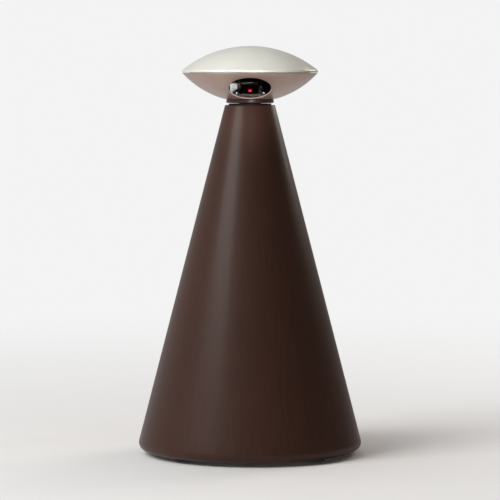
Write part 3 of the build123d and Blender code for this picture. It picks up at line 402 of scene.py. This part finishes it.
def turned_skin(mesh, profile, steps, columns, openings=()):
    """A skin turned about Z with openings. Returns its first and last loops, and a loop for each opening."""
    turn = 2 * math.pi / columns
    rings = [
        loop_of(mesh, [on_profile(profile, turn * column, step) for column in range(columns)])
        for step in steps
    ]
    open_cells = {
        (column % columns, row)
        for opening in openings
        for column in range(*opening["columns"])
        for row in range(*opening["rows"])
    }
    for row, (below, above) in enumerate(zip(rings, rings[1:])):
        for column in range(columns):
            if (column, row) not in open_cells:
                beside = (column + 1) % columns
                mesh.faces.new((below[column], below[beside], above[beside], above[column]))
    rims = []
    for opening in openings:
        (left, right), (low, high) = opening["columns"], opening["rows"]
        walk = [(column, low) for column in range(left, right)] + [(right, row) for row in range(low, high)]
        walk += [(column, high) for column in range(right, left, -1)]
        walk += [(left, row) for row in range(high, low, -1)]
        loops = [[rings[row][column % columns] for column, row in walk]]
        aims = [opening["place"](direction) for direction in rim_turns(opening)]
        bands = opening["bands"]
        for band in range(1, bands + 1):
            share = band / bands
            loops.append(loop_of(mesh, [
                on_profile(
                    profile,
                    turn * column + (angle - turn * column) * share,
                    steps[row] + (step - steps[row]) * share,
                )
                for (column, row), (angle, step) in zip(walk, aims)
            ]))
        bridge(mesh, *loops)
        rims.append(loops[-1])
    return rings[0], rings[-1], rims


def post(mesh, x, y, line, keep=lambda point: point, count=32):
    """A closed round piece turned about an upright axis at x and y. Its line starts and ends at radius 0."""
    turns = [2 * math.pi * step / count for step in range(count)]
    bridge(mesh, *[
        loop_of(mesh, [
            keep(Vector((x + radius * math.cos(a), y + radius * math.sin(a), height))) for a in turns
        ])
        for radius, height in line
    ])


def new_piece(name, mesh, *finishes, sharp=32):
    """The finished mesh as an object, smooth except at edges sharper than an angle in degrees."""
    same_spot = 1e-7
    bmesh.ops.delete(mesh, geom=[v for v in mesh.verts if not v.link_faces], context="VERTS")
    bmesh.ops.remove_doubles(mesh, verts=mesh.verts, dist=same_spot)
    bmesh.ops.recalc_face_normals(mesh, faces=mesh.faces)
    data = bpy.data.meshes.new(name)
    mesh.to_mesh(data)
    mesh.free()
    data.polygons.foreach_set("use_smooth", [True] * len(data.polygons))
    data.set_sharp_from_angle(angle=math.radians(sharp))
    for finish in finishes:
        data.materials.append(finish)
    piece = bpy.data.objects.new(name, data)
    bpy.context.collection.objects.link(piece)
    return piece


button_columns, button_rows, button_bands = (41, 55), (3, 13), 4


def button_opening(radius, wall_radius):
    """The round hole for the button in one skin of the cone, whose radius at a height is given."""
    def spot(direction):
        height = button_z + radius * math.sin(direction)
        return math.pi / 2 + math.asin(radius * math.cos(direction) / wall_radius(height)), height

    return {"columns": button_columns, "rows": button_rows, "bands": button_bands, "place": spot}


def button_loop(mesh, opening, radius, y=None, sink=0.0):
    """A loop round the button's hole, on the cone's face and sunk a little, or flat at y."""
    points = []
    for direction in rim_turns(opening):
        x, height = -radius * math.cos(direction), button_z + radius * math.sin(direction)
        face = math.sqrt(cone_radius(height) ** 2 - x**2)
        points.append(Vector((x, face - sink if y is None else y, height)))
    return loop_of(mesh, points)


def cone_satin():
    """Dark brown satin plastic with faint streaks up the cone, a fine even grain and a thin polish."""
    material, tree, shader = new_finish(
        "cone_brown_satin", 0.4, Specular_IOR_Level=0.14, Coat_Weight=0.09, Coat_Roughness=0.22
    )
    streaks_round, streak_rise, streak_share, broad_size = 34, 2.2, 0.65, 0.05
    grain_size, grain_depth = 0.00035, 0.000016
    spot = add(tree, "TexCoord").outputs["Object"]
    level = add(tree, "VectorMath", {0: spot, 1: (1, 1, 0)}, operation="MULTIPLY").outputs["Vector"]
    around = add(tree, "VectorMath", {0: level}, operation="NORMALIZE").outputs["Vector"]
    rise = add(tree, "SeparateXYZ", {"Vector": spot}).outputs["Z"]
    lift = add(tree, "CombineXYZ", {"Z": maths(tree, "MULTIPLY", rise, streak_rise)}).outputs["Vector"]
    along = add(tree, "VectorMath", {0: around, 1: lift}, operation="ADD").outputs["Vector"]
    streak = maths(tree, "MULTIPLY", noise(tree, 1 / streaks_round, where=along), streak_share)
    broad = maths(tree, "MULTIPLY", noise(tree, broad_size, detail=1.0), 1 - streak_share)
    tone = maths(tree, "ADD", streak, broad)
    tree.links.new(shade(tree, tone, screen(57, 37, 30), screen(66, 42, 35)), shader.inputs["Base Color"])
    tree.links.new(ranged(tree, tone, 0.36, 0.43), shader.inputs["Roughness"])
    relief(tree, shader, noise(tree, grain_size, detail=2.0), grain_depth)
    return material


cone_brown = cone_satin()
cone = bmesh.new()
around_cone = 192
foot_centre = cone_radius(cone_low + foot_round, foot_round)
crown_centre = cone_radius(crown_z - crown_round, crown_round)
foot_line = [(lip_inner, cone_low)]
foot_line += corner(foot_centre, cone_low + foot_round, foot_round, -math.pi / 2, slope_angle, 12)
crown_line = corner(crown_centre, crown_z - crown_round, crown_round, slope_angle, math.pi / 2, 6)
crown_line += [(crown_bore, crown_z), (crown_bore, crown_z - crown_thick)]
crown_low = crown_z - crown_thick
crown_line += [(cone_radius(crown_low, cone_wall), crown_low)]
wall_steps = [12, 18, *range(24, 46, 2), *range(52, 192, 10)]  # close together beside the button
outer_steps = [foot_line[-1][1], *wall_steps, crown_line[0][1]]
inner_steps = [lip_top, *wall_steps, crown_low]
bore_out = button_opening(button_bore + bore_edge, cone_radius)
bore_in = button_opening(guide_radius, lambda z: cone_radius(z, cone_wall))
turned_line(cone, foot_line, around_cone)
*_, (outer_rim,) = turned_skin(cone, lambda z: (cone_radius(z), z), outer_steps, around_cone, [bore_out])
turned_line(cone, crown_line, around_cone)
*_, (inner_rim,) = turned_skin(
    cone, lambda z: (cone_radius(z, cone_wall), z), inner_steps, around_cone, [bore_in]
)
turned_line(cone, [(cone_radius(lip_top, cone_wall), lip_top), (lip_inner, lip_top), (lip_inner, cone_low)],
            around_cone)
edge_middle = bore_edge * 0.3
bridge(
    cone, outer_rim,
    button_loop(cone, bore_out, button_bore + edge_middle, sink=edge_middle),
    button_loop(cone, bore_out, button_bore, sink=bore_edge),
    button_loop(cone, bore_out, button_bore, guide_end),
    button_loop(cone, bore_out, guide_radius, guide_end), inner_rim,
)


def inside_wall(point):
    """A point pulled in to the middle of the cone's wall where it lies beyond that."""
    reach, limit = math.hypot(point.x, point.y), cone_radius(point.z, cone_wall / 2)
    return Vector((point.x * limit / reach, point.y * limit / reach, point.z)) if reach > limit else point


base_boss_circle, base_boss_radius, base_boss_low, base_boss_top = 46.985, 4.0, 5.0, 25.0
base_boss_angles, base_bore_depth = (30, 150, 270), 17.0
base_bore_top = base_boss_low + base_bore_depth
screw_bore, rib_half, wall_beyond = 1.25, 1.0, 99.0
rib_corners = ((-1, lip_top), (1, lip_top), (1, base_boss_top), (-1, base_boss_top))
for degrees in base_boss_angles:
    along = Vector((math.cos(math.radians(degrees)), math.sin(math.radians(degrees)), 0))
    post(cone, *(along * base_boss_circle).xy, [
        (0, base_bore_top), (screw_bore, base_bore_top), (screw_bore, base_boss_low),
        (base_boss_radius, base_boss_low), (base_boss_radius, base_boss_top), (0, base_boss_top),
    ])
    across = Vector((-along.y, along.x, 0)) * rib_half
    ends = [
        loop_of(cone, [
            inside_wall(along * reach + across * side + Vector((0, 0, height)))
            for side, height in rib_corners
        ])
        for reach in (base_boss_circle + base_boss_radius - rib_half, wall_beyond)
    ]
    bridge(cone, *ends)
    cone.faces.new(ends[0])
    cone.faces.new(ends[1])
chassis_boss_circle, chassis_boss_radius, chassis_boss_low, chassis_boss_top = 21.512, 3.2, 134.5, 148.5
chassis_boss_angles, chassis_bore_top = (110, 200, 288), 141.5
for degrees in chassis_boss_angles:
    along = Vector((math.cos(math.radians(degrees)), math.sin(math.radians(degrees)), 0))
    post(cone, *(along * chassis_boss_circle).xy, [
        (0, chassis_bore_top), (screw_bore, chassis_bore_top), (screw_bore, chassis_boss_low),
        (chassis_boss_radius, chassis_boss_low), (chassis_boss_radius, chassis_boss_top),
        (0, chassis_boss_top),
    ], inside_wall)
cone_shell = new_piece("cone_shell_satin", cone, cone_brown)
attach(cone_shell, "base")
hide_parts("cone_shell")

# ------------------------------------------------------------------ power button
# A round silver-painted button stands a little proud of the cone's back, its face shaped to the slope. It
# slides in the bored guide, and its stem presses the key switch.
button_silver = mottled(
    "button_silver_paint", screen(188, 188, 187), screen(195, 195, 194), (0.27, 0.32), 0.0003, 0.000006, 0.5,
    Coat_Weight=0.3, Coat_Roughness=0.12,
)
dress(button_silver, "power_button")

# ------------------------------------------------------------------ base screws, feet and battery door
# Three screws hold the base plate, and two the door of the battery bay, which is moulded like the base. The
# feet are soft black rubber pads that press into sockets.
dress(zinc_screw, "base_screws", "battery_door_screws")
dress(
    mottled("foot_rubber", screen(24, 24, 25), screen(36, 36, 37), (0.72, 0.86), 0.0004, 0.00004),
    "rubber_foot_front_right", "rubber_foot_back_right", "rubber_foot_back_left", "rubber_foot_front_left",
)
dress(base_black, "battery_door")

# ------------------------------------------------------------------ neck: bush, drive tube, clip and collar
# A black acetal bush is pressed into the cone's crown, and the head's hollow drive tube turns in it, held by
# a spring-steel clip. The collar over the joint is a thin moulded ring in dark red-brown.
dress(
    mottled("bush_acetal_black", screen(20, 18, 18), screen(28, 26, 26), (0.5, 0.62), 0.0004, 0.00001,
            Specular_IOR_Level=0.15),
    "neck_bushing",
)
dress(
    mottled("tube_black", screen(26, 26, 27), screen(40, 40, 41), (0.4, 0.52), 0.0005, 0.00001), "drive_tube"
)
dress(spring_steel, "retaining_clip")
dress(
    mottled("collar_red_brown", screen(48, 27, 23), screen(58, 33, 28), (0.32, 0.42), 0.0005, 0.00001,
            Specular_IOR_Level=0.25, Coat_Weight=0.1, Coat_Roughness=0.2),
    "neck_collar",
)


# ------------------------------------------------------------------ head bowl
# The lower half of the head is a shallow bowl, moulded and then sprayed with a pearl paint. Its colour here is
# set darker and browner than the dome's: painted shade and a painted reflection of the brown cone below. An
# oval window is cut through its front, with a paler lip that is a painted highlight of light caught on its
# lower edge.
# Three recesses underneath take the screws that hold the dome.
disc_radius, seam_z, disc_wall = 36.9, 207.5, 1.8
bowl_foot_radius, bowl_bottom, bowl_floor, bowl_bore = 13.9, 193.3, 195.1, 6.05
bowl_arc, bowl_arc_r, bowl_arc_z = 49.018421, 0.647028, 240.492842
bowl_rim_round = 0.2
window_half_width, window_half_height, window_z, window_start = 11.3, 5.4, 199.4, 8.8
window_soft, window_depth = 0.5, 0.8
head_screw_circle, head_screw_angles, post_radius, post_top = 24.0, (35, 90, 145), 3.4, 206.5
recess_radius, recess_seat, screw_hole = 2.6, 203.5, 1.4
recess_soft = 0.15


def bowl_radius(z, inset=0.0):
    """Radius of the bowl at a height, inset square to its outer face."""
    return bowl_arc_r + math.sqrt((bowl_arc - inset) ** 2 - (z - bowl_arc_z) ** 2)


def bowl_height(radius, inset=0.0):
    """Height of the bowl's face at a radius, inset square to its outer face."""
    return bowl_arc_z - math.sqrt((bowl_arc - inset) ** 2 - (radius - bowl_arc_r) ** 2)


def window_outline(direction, grow=0.0):
    """x and z of the window's oval in a direction about its middle, grown all round."""
    return (
        (window_half_width + grow) * math.cos(direction),
        window_z + (window_half_height + grow) * math.sin(direction),
    )


def window_front(direction, grow=0.0, sink=0.0):
    """A point of the window's outline on the bowl's outer face, sunk straight back."""
    x, z = window_outline(direction, grow)
    return Vector((x, sink - math.sqrt(bowl_radius(z) ** 2 - x**2), z))


def window_back(direction):
    """A point of the window's outline on the bowl's inner face, or on its floor where that is higher."""
    corner_power = 4
    x, z = window_outline(direction)
    if z >= bowl_floor:
        return Vector((x, -math.sqrt(bowl_radius(z, disc_wall) ** 2 - x**2), z))
    floor_half = window_half_width * math.sqrt(1 - ((window_z - bowl_floor) / window_half_height) ** 2)
    floor_front = math.sqrt(bowl_radius(bowl_floor, disc_wall) ** 2 - floor_half**2)
    share = (x / floor_half) ** corner_power
    return Vector((x, -window_start - (floor_front - window_start) * share, bowl_floor))


def turned_place(point):
    """The angle from 0 to a full turn, and the radius, of a point."""
    return math.atan2(point.y, point.x) % (2 * math.pi), math.hypot(point.x, point.y)


head_columns, bowl_rows = 192, 24
window_columns, window_bands = (120, 168), 6


def window_opening(first_row, outline):
    """The window in one skin of the bowl, from a row up."""
    return {
        "columns": window_columns, "rows": (first_row, first_row + bowl_rows), "bands": window_bands,
        "place": lambda d: turned_place(outline(d)),
    }


def screw_ring(degrees, direction, radius, height=0.0):
    """A point on a circle about a head screw, in a direction whose sine leads out from the head's axis."""
    out, beside = head_screw_circle + radius * math.sin(direction), radius * math.cos(direction)
    a = math.radians(degrees)
    x, y = out * math.cos(a) - beside * math.sin(a), out * math.sin(a) + beside * math.cos(a)
    return Vector((x, y, height))


screw_columns = dict(zip(head_screw_angles, (19, 48, 77)))
outer_screw_rows, inner_screw_rows, screw_half_columns, screw_bands = (7, 16), (13, 22), 6, 3


def screw_opening(degrees, rows, radius):
    """The round opening about a head screw in one skin of the bowl."""
    middle = screw_columns[degrees]
    return {
        "columns": (middle - screw_half_columns, middle + screw_half_columns), "rows": rows,
        "bands": screw_bands, "place": lambda d: turned_place(screw_ring(degrees, d, radius)),
    }


def pearl_paint(name, dark, light, roughness, metallic, painted_highlight=None):
    """Pearl paint: a base with very fine mica, a soft clear coat and slight orange peel.

    Where a highlight colour is given, the paint goes over to it low down as a painted highlight.
    """
    highlight_full_below, highlight_none_above, mica_size, peel_size, peel_depth = 0.196, 0.2, 0.00025, 0.0012, 0.000012
    material, tree, shader = new_finish(
        name, roughness, metallic, Coat_Weight=0.25, Coat_Roughness=0.16, Specular_IOR_Level=0.4
    )
    cloud = noise(tree, 0.012, detail=2.0)
    mica = noise(tree, mica_size, detail=2.0)
    tone = maths(tree, "ADD", maths(tree, "MULTIPLY", cloud, 0.6), maths(tree, "MULTIPLY", mica, 0.4))
    colour = shade(tree, tone, dark, light)
    # Painted highlight: low down, the colour goes over to a pale one that stands for light caught on the
    # window's lower lip.
    if painted_highlight:
        height = add(tree, "SeparateXYZ", {"Vector": place(tree)}).outputs["Z"]
        colour = blend_colours(tree, ranged(tree, height, 1.0, 0.0, highlight_full_below, highlight_none_above), colour, painted_highlight)
    tree.links.new(colour, shader.inputs["Base Color"])
    tree.links.new(ranged(tree, mica, roughness - 0.03, roughness + 0.04), shader.inputs["Roughness"])
    relief(tree, shader, noise(tree, peel_size, detail=1.0), peel_depth)
    return material


outer_last, floor_middle, inner_first, inner_last = 35.0, 7.0, 8.0, 33.3
row_steps = range(bowl_rows + 1)
outer_radii = [bowl_foot_radius + (outer_last - bowl_foot_radius) * step / bowl_rows for step in row_steps]
inner_radii = [inner_first + (inner_last - inner_first) * step / bowl_rows for step in row_steps]
inner_radii = [bowl_bore, floor_middle] + inner_radii
rim_centre = bowl_radius(seam_z - bowl_rim_round, bowl_rim_round)
rim_start = math.atan2(seam_z - bowl_rim_round - bowl_arc_z, rim_centre - bowl_arc_r)
rim_line = corner(rim_centre, seam_z - bowl_rim_round, bowl_rim_round, rim_start, math.pi / 2, 5)
rim_line += [(bowl_radius(seam_z, disc_wall), seam_z)]
recess_mouth = recess_radius + recess_soft
outer_openings = [window_opening(0, lambda d: window_front(d, window_soft))]
outer_openings += [screw_opening(a, outer_screw_rows, recess_mouth) for a in head_screw_angles]
inner_openings = [window_opening(2, window_back)]
inner_openings += [screw_opening(a, inner_screw_rows, post_radius) for a in head_screw_angles]

bowl = bmesh.new()
*_, outer_rims = turned_skin(
    bowl, lambda r: (r, bowl_height(r)), outer_radii + [rim_line[0][0]], head_columns, outer_openings
)
*_, inner_rims = turned_skin(
    bowl, lambda r: (r, max(bowl_floor, bowl_height(r, disc_wall))), inner_radii + [rim_line[-1][0]],
    head_columns, inner_openings,
)
turned_line(bowl, rim_line, head_columns)
turned_line(bowl, [(bowl_foot_radius, bowl_bottom), (bowl_bore, bowl_bottom), (bowl_bore, bowl_floor)],
            head_columns)
lip_loops, lip_steps = [], 5
for share in [(step + 1) / lip_steps for step in range(lip_steps)]:
    lip_loops.append(loop_of(bowl, [
        window_front(d, window_soft) * (1 - share) ** 2
        + window_front(d) * 2 * share * (1 - share)
        + window_front(d, 0, window_depth) * share**2
        for d in rim_turns(outer_openings[0])
    ]))
# The lip's faces take the second finish, the one with the painted shade and the painted highlight.
bridge(bowl, outer_rims[0], *lip_loops, finish=1)
bridge(bowl, lip_loops[-1], inner_rims[0])
for degrees, outer, inner in zip(head_screw_angles, outer_rims[1:], inner_rims[1:]):
    turns = rim_turns(outer_openings[1])
    mouth = [screw_ring(degrees, d, recess_radius) for d in turns]
    for point in mouth:
        point.z = bowl_height(math.hypot(point.x, point.y)) + recess_soft
    steps = [
        (recess_radius, recess_seat), (screw_hole, recess_seat),
        (screw_hole, post_top), (post_radius, post_top),
    ]
    loops = [loop_of(bowl, [screw_ring(degrees, d, *step) for d in turns]) for step in steps]
    bridge(bowl, outer, loop_of(bowl, mouth), *loops, inner)
# Painted shade: the bowl's colours are darker and browner than the dome's, standing for shade and a painted
# reflection of the brown cone below.
bowl_paint_with_painted_shade = pearl_paint("bowl_pearl_with_painted_shade", screen(156, 133, 122), screen(168, 145, 134), 0.3, 0.5)
# The window's lip is as dark as the bowl, as painted shade. Low down it goes over to a pale painted highlight
# where light catches its lower edge.
lip_painted_shade_and_highlight = pearl_paint(
    "window_lip_painted_shade_and_highlight", screen(150, 126, 114), screen(162, 138, 126), 0.3, 0.1, screen(236, 214, 204)
)
head_bowl = new_piece("head_bowl_pearl", bowl, bowl_paint_with_painted_shade, lip_painted_shade_and_highlight)
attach(head_bowl, "head")
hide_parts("head_bowl")


# ------------------------------------------------------------------ mirror, its housing and the tilt knob
# Behind the window sits a black moulded lining with two ears. They carry a small plate with the mirror under
# it, and the bright grooved knob on the left pin tilts it. A painted red glow on the glass stands for the
# laser's light where it meets the mirror.
dress(
    mottled("lining_black", screen(34, 25, 21), screen(46, 34, 28), (0.5, 0.64), 0.0005, 0.00003),
    "mirror_housing",
)
dress(
    mottled("carrier_black", screen(30, 27, 26), screen(42, 38, 36), (0.4, 0.52), 0.0004, 0.00002),
    "mirror_carrier",
)


def mirror_silver():
    """Silvered glass with a soft painted red glow that stands for the laser's light where it meets the glass.
    """
    material, tree, shader = new_finish("mirror_silver", 0.05, 1.0, Coat_Weight=1.0, Coat_Roughness=0.02)
    spot_radius, spot_core, spot_fade = 0.0015, 0.15, 2.0
    level = add(tree, "VectorMath", {0: place(tree), 1: (1, 1, 0)}, operation="MULTIPLY").outputs["Vector"]
    reach = add(tree, "VectorMath", {0: level}, operation="LENGTH").outputs["Value"]
    inward = ranged(tree, reach, 1.0, 0.0, spot_radius * spot_core, spot_radius)
    # Painted light: the red glow is emission on the glass that stands in for the laser beam meeting the
    # mirror.
    painted_laser_glow = maths(tree, "POWER", inward, spot_fade)
    film = shade(tree, noise(tree, 0.003), screen(196, 200, 204), screen(214, 217, 220))
    light = blend_colours(tree, painted_laser_glow, (0, 0, 0, 1), (1, 0.05, 0.09, 1))
    tree.links.new(blend_colours(tree, painted_laser_glow, film, screen(230, 30, 36)), shader.inputs["Base Color"])
    tree.links.new(light, shader.inputs["Emission Color"])
    tree.links.new(ranged(tree, noise(tree, 0.002), 0.03, 0.08), shader.inputs["Roughness"])
    shader.inputs["Emission Strength"].default_value = 1.6
    return material


dress(mirror_silver(), "mirror_glass")
pivot_z, knob_end, knob_wheel, knob_tip = 200.1, -10.9, -9.6, -6.9
knob_radius, knob_groove, knob_grooves, knob_tip_radius = 3.5, 0.35, 18, 1.7
knob_bore, knob_soft, knob_dish, dish_inset, dish_edge, wheel_step = 1.0, 0.22, 0.25, 0.9, 0.5, 0.1
turns_per_groove = 12


def knob_reach(radius, turn, fluted):
    """Radius of the knob at a turn, cut in by the nearest groove of its rim where it is fluted."""
    pitch = 2 * math.pi / knob_grooves
    beside = abs((turn + pitch / 2) % pitch - pitch / 2) * knob_radius
    return radius - fluted * math.sqrt(max(0.0, knob_groove**2 - beside**2))


knob = bmesh.new()
taper_start, edge_middle = knob_radius - knob_groove, knob_soft * 0.3
knob_line = [  # place along X, radius, and 1 where the grooves are cut
    (knob_end + knob_dish, 0, 0),
    (knob_end + knob_dish, taper_start - dish_inset, 0),
    (knob_end, taper_start - dish_edge, 0),
    (knob_end, knob_radius - knob_soft, 1),
    (knob_end + edge_middle, knob_radius - edge_middle, 1),
    (knob_end + knob_soft, knob_radius, 1),
    (knob_wheel - knob_soft, knob_radius, 1),
    (knob_wheel - edge_middle, knob_radius - edge_middle, 1),
    (knob_wheel, knob_radius - knob_soft, 1),
    (knob_wheel, taper_start - wheel_step, 0),
    (knob_wheel + wheel_step * 1.5, taper_start - wheel_step * 2, 0),
    (knob_tip - knob_soft, knob_tip_radius + wheel_step, 0),
    (knob_tip, knob_tip_radius - knob_soft, 0),
    (knob_tip, knob_bore, 0),
    (knob_wheel, knob_bore, 0),
    (knob_wheel, 0, 0),
]
knob_columns = knob_grooves * turns_per_groove
knob_turns = [2 * math.pi * step / knob_columns for step in range(knob_columns)]
bridge(knob, *[
    loop_of(knob, [
        Vector((x, reach * math.cos(turn), pivot_z + reach * math.sin(turn)))
        for turn in knob_turns for reach in [knob_reach(radius, turn, fluted)]
    ])
    for x, radius, fluted in knob_line
])
knob_chrome = mottled(
    "knob_bright_plate", screen(243, 244, 242), screen(251, 252, 250), (0.24, 0.36), 0.0002, 0.000003, 0.08,
    Coat_Weight=0.5, Coat_Roughness=0.08,
)
tilt_knob = new_piece("tilt_knob_chrome", knob, knob_chrome, sharp=40)
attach(tilt_knob, "mirror")
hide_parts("tilt_knob")
dress(zinc_screw, "tube_screws")


# ------------------------------------------------------------------ head dome
# The upper half of the head is a low dome with a narrow rim band that overhangs the seam. It is sprayed with
# the same pearl paint, and a lip and three posts inside it locate it in the bowl.
dome_arc, dome_arc_z, dome_low, band_soft, band_round = 58.176, 163.824, 207.65, 0.8, 0.25
lip_outer, lip_thick, lip_low = 32.85, 1.0, 206.1
dome_post_low, dome_bite, dome_top = 206.65, 6.0, dome_arc_z + dome_arc
band_centre = disc_radius - band_soft
band_z = dome_arc_z + math.sqrt((dome_arc - band_soft) ** 2 - band_centre**2)
cap_end = math.atan2(band_z - dome_arc_z, band_centre)
dome_line = corner(0, dome_arc_z, dome_arc, math.pi / 2, cap_end, 36)
dome_line += corner(band_centre, band_z, band_soft, cap_end, 0, 7)[1:]
dome_line += corner(disc_radius - band_round, dome_low + band_round, band_round, 0, -math.pi / 2, 4)
inner_start = math.acos((lip_outer - lip_thick) / (dome_arc - disc_wall))
dome_line += [(lip_outer, dome_low), (lip_outer, lip_low), (lip_outer - lip_thick, lip_low)]
dome_line += corner(0, dome_arc_z, dome_arc - disc_wall, inner_start, math.pi / 2, 30)


def under_dome(point):
    """A point lowered to the middle of the dome's wall where it lies above that."""
    limit = dome_arc_z + math.sqrt((dome_arc - disc_wall / 2) ** 2 - point.x**2 - point.y**2)
    return Vector((point.x, point.y, min(point.z, limit)))


dome = bmesh.new()
turned_line(dome, dome_line, head_columns)
for degrees in head_screw_angles:
    hole_top = dome_post_low + dome_bite
    post(dome, *screw_ring(degrees, 0, 0).xy, [
        (0, hole_top), (screw_bore, hole_top), (screw_bore, dome_post_low), (post_radius, dome_post_low),
        (post_radius, dome_top), (post_radius / 2, dome_top), (0, dome_top),
    ], under_dome)
dome_pearl = pearl_paint("dome_pearl_paint", screen(212, 212, 204), screen(220, 220, 212), 0.3, 0.2)
head_dome = new_piece("head_dome_pearl", dome, dome_pearl)
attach(head_dome, "head")
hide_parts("head_dome")
dress(zinc_screw, "head_screws")


# ------------------------------------------------------------------ studio
# A pale floor that fades out round the toy, a near-white surround, and soft lamps: a large one high on the
# left, a weak one behind on the right, a narrow one that reaches into the window, and a faint one underneath.
def floor_finish():
    """Matt pale paint that fades out with distance, and that can't be seen from below."""
    fade_start, fade_end, fade_power = 0.08, 0.9, 2.0
    material, tree, shader = new_finish("floor_pale", 0.75)
    cloud = noise(tree, 0.05)
    tree.links.new(shade(tree, cloud, (0.88, 0.88, 0.88, 1), (0.9, 0.9, 0.9, 1)), shader.inputs["Base Color"])
    reach = add(tree, "VectorMath", {0: place(tree)}, operation="LENGTH").outputs["Value"]
    solid = maths(tree, "POWER", ranged(tree, reach, 1.0, 0.0, fade_start, fade_end), fade_power)
    below = add(tree, "NewGeometry").outputs["Backfacing"]
    seen = maths(tree, "MULTIPLY", solid, maths(tree, "SUBTRACT", 1.0, below))
    tree.links.new(seen, shader.inputs["Alpha"])
    return material


def aim_light(name, data, spot, aim, mirrored=True):
    """A lamp at a spot, aimed at a point. The camera doesn't see it, and reflections may or may not."""
    lamp = bpy.data.objects.new(name, data)
    bpy.context.collection.objects.link(lamp)
    lamp.location = spot
    lamp.rotation_euler = (Vector(aim) - Vector(spot)).to_track_quat("-Z", "Y").to_euler()
    lamp.visible_camera, lamp.visible_glossy = False, mirrored


def soft_light(name, spot, aim, size, watts, colour):
    """A square soft light at a spot, aimed at a point."""
    data = bpy.data.lights.new(name, "AREA")
    data.size, data.energy, data.color = size, watts, colour
    aim_light(name, data, spot, aim)


floor_half, floor_z = 1.2, -0.0003
floor_data = bpy.data.meshes.new("studio_floor")
floor_corners = [
    (x * floor_half, y * floor_half, floor_z) for x, y in ((-1, -1), (1, -1), (1, 1), (-1, 1))
]
floor_data.from_pydata(floor_corners, [], [(0, 1, 2, 3)])
floor_data.materials.append(floor_finish())
floor = bpy.data.objects.new("studio_floor", floor_data)
bpy.context.collection.objects.link(floor)

scene = bpy.context.scene
scene.view_settings.view_transform = "Standard"
surround = bpy.data.worlds.new("surround")
surround.use_nodes = True
scene.world = surround
surround_tree = surround.node_tree
backdrop = surround_tree.nodes["Background"]
near_white, bright_side, dim_side = (0.9, 0.9, 0.9, 1), (0.56, 0.56, 0.56, 1), (0.13, 0.108, 0.09, 1)
dim_way, below_full, below_none = (0.95, -0.3, 0.0), -0.9, -0.1
direction = add(surround_tree, "TexCoord").outputs["Generated"]
toward_dim = add(surround_tree, "VectorMath", {0: direction, 1: dim_way}, operation="DOT_PRODUCT")
share = ranged(surround_tree, toward_dim.outputs["Value"], 0.0, 1.0, -1.0, 1.0)
lit = shade(surround_tree, share, bright_side, dim_side, 0.2, 0.8)
seen = add(surround_tree, "LightPath").outputs["Is Camera Ray"]
drop = add(surround_tree, "SeparateXYZ", {"Vector": direction}).outputs["Z"]
from_below = ranged(surround_tree, drop, 1.0, 0.0, below_full, below_none)
lit = blend_colours(surround_tree, from_below, lit, near_white)
surround_tree.links.new(blend_colours(surround_tree, seen, lit, near_white), backdrop.inputs["Color"])
soft_light("key", (-0.80, -0.60, 0.85), (0, 0, 0.14), size=0.7, watts=12, colour=(1.0, 0.99, 0.97))
window_lamp = bpy.data.lights.new("window_lamp", "SPOT")
window_lamp.energy, window_lamp.shadow_soft_size = 175.0, 0.03
window_lamp.spot_size, window_lamp.spot_blend = math.radians(1.9), 1.0
aim_light("window_lamp", window_lamp, (0.14, -1.1, 0.29), (-0.007, 0, 0.2))
soft_light("rim", (0.55, 0.60, 0.50), (0, 0, 0.15), size=0.4, watts=2.0, colour=(1.0, 0.9, 0.82))
under_lamp = bpy.data.lights.new("under_lamp", "AREA")
under_lamp.shape, under_lamp.size, under_lamp.energy = "DISK", 0.114, 0.045
aim_light("under_lamp", under_lamp, (0, 0, floor_z / 2), (0, 0, 1), mirrored=False)

# ------------------------------------------------------------------ camera
# The camera is level with the head's rim, so that the seam is a straight line, and it looks down at the
# middle of the toy from far enough away for the foot to curve only a little.
focal_length, eye_distance, toy_middle = 195.2, 1.476, 0.111
lens = bpy.data.cameras.new("camera")
lens.lens = focal_length
eye = bpy.data.objects.new("camera", lens)
bpy.context.collection.objects.link(eye)
eye.location = (0, -eye_distance, seam_z * mm)
eye.rotation_euler = (Vector((0, 0, toy_middle)) - eye.location).to_track_quat("-Z", "Y").to_euler()
scene.camera = eye
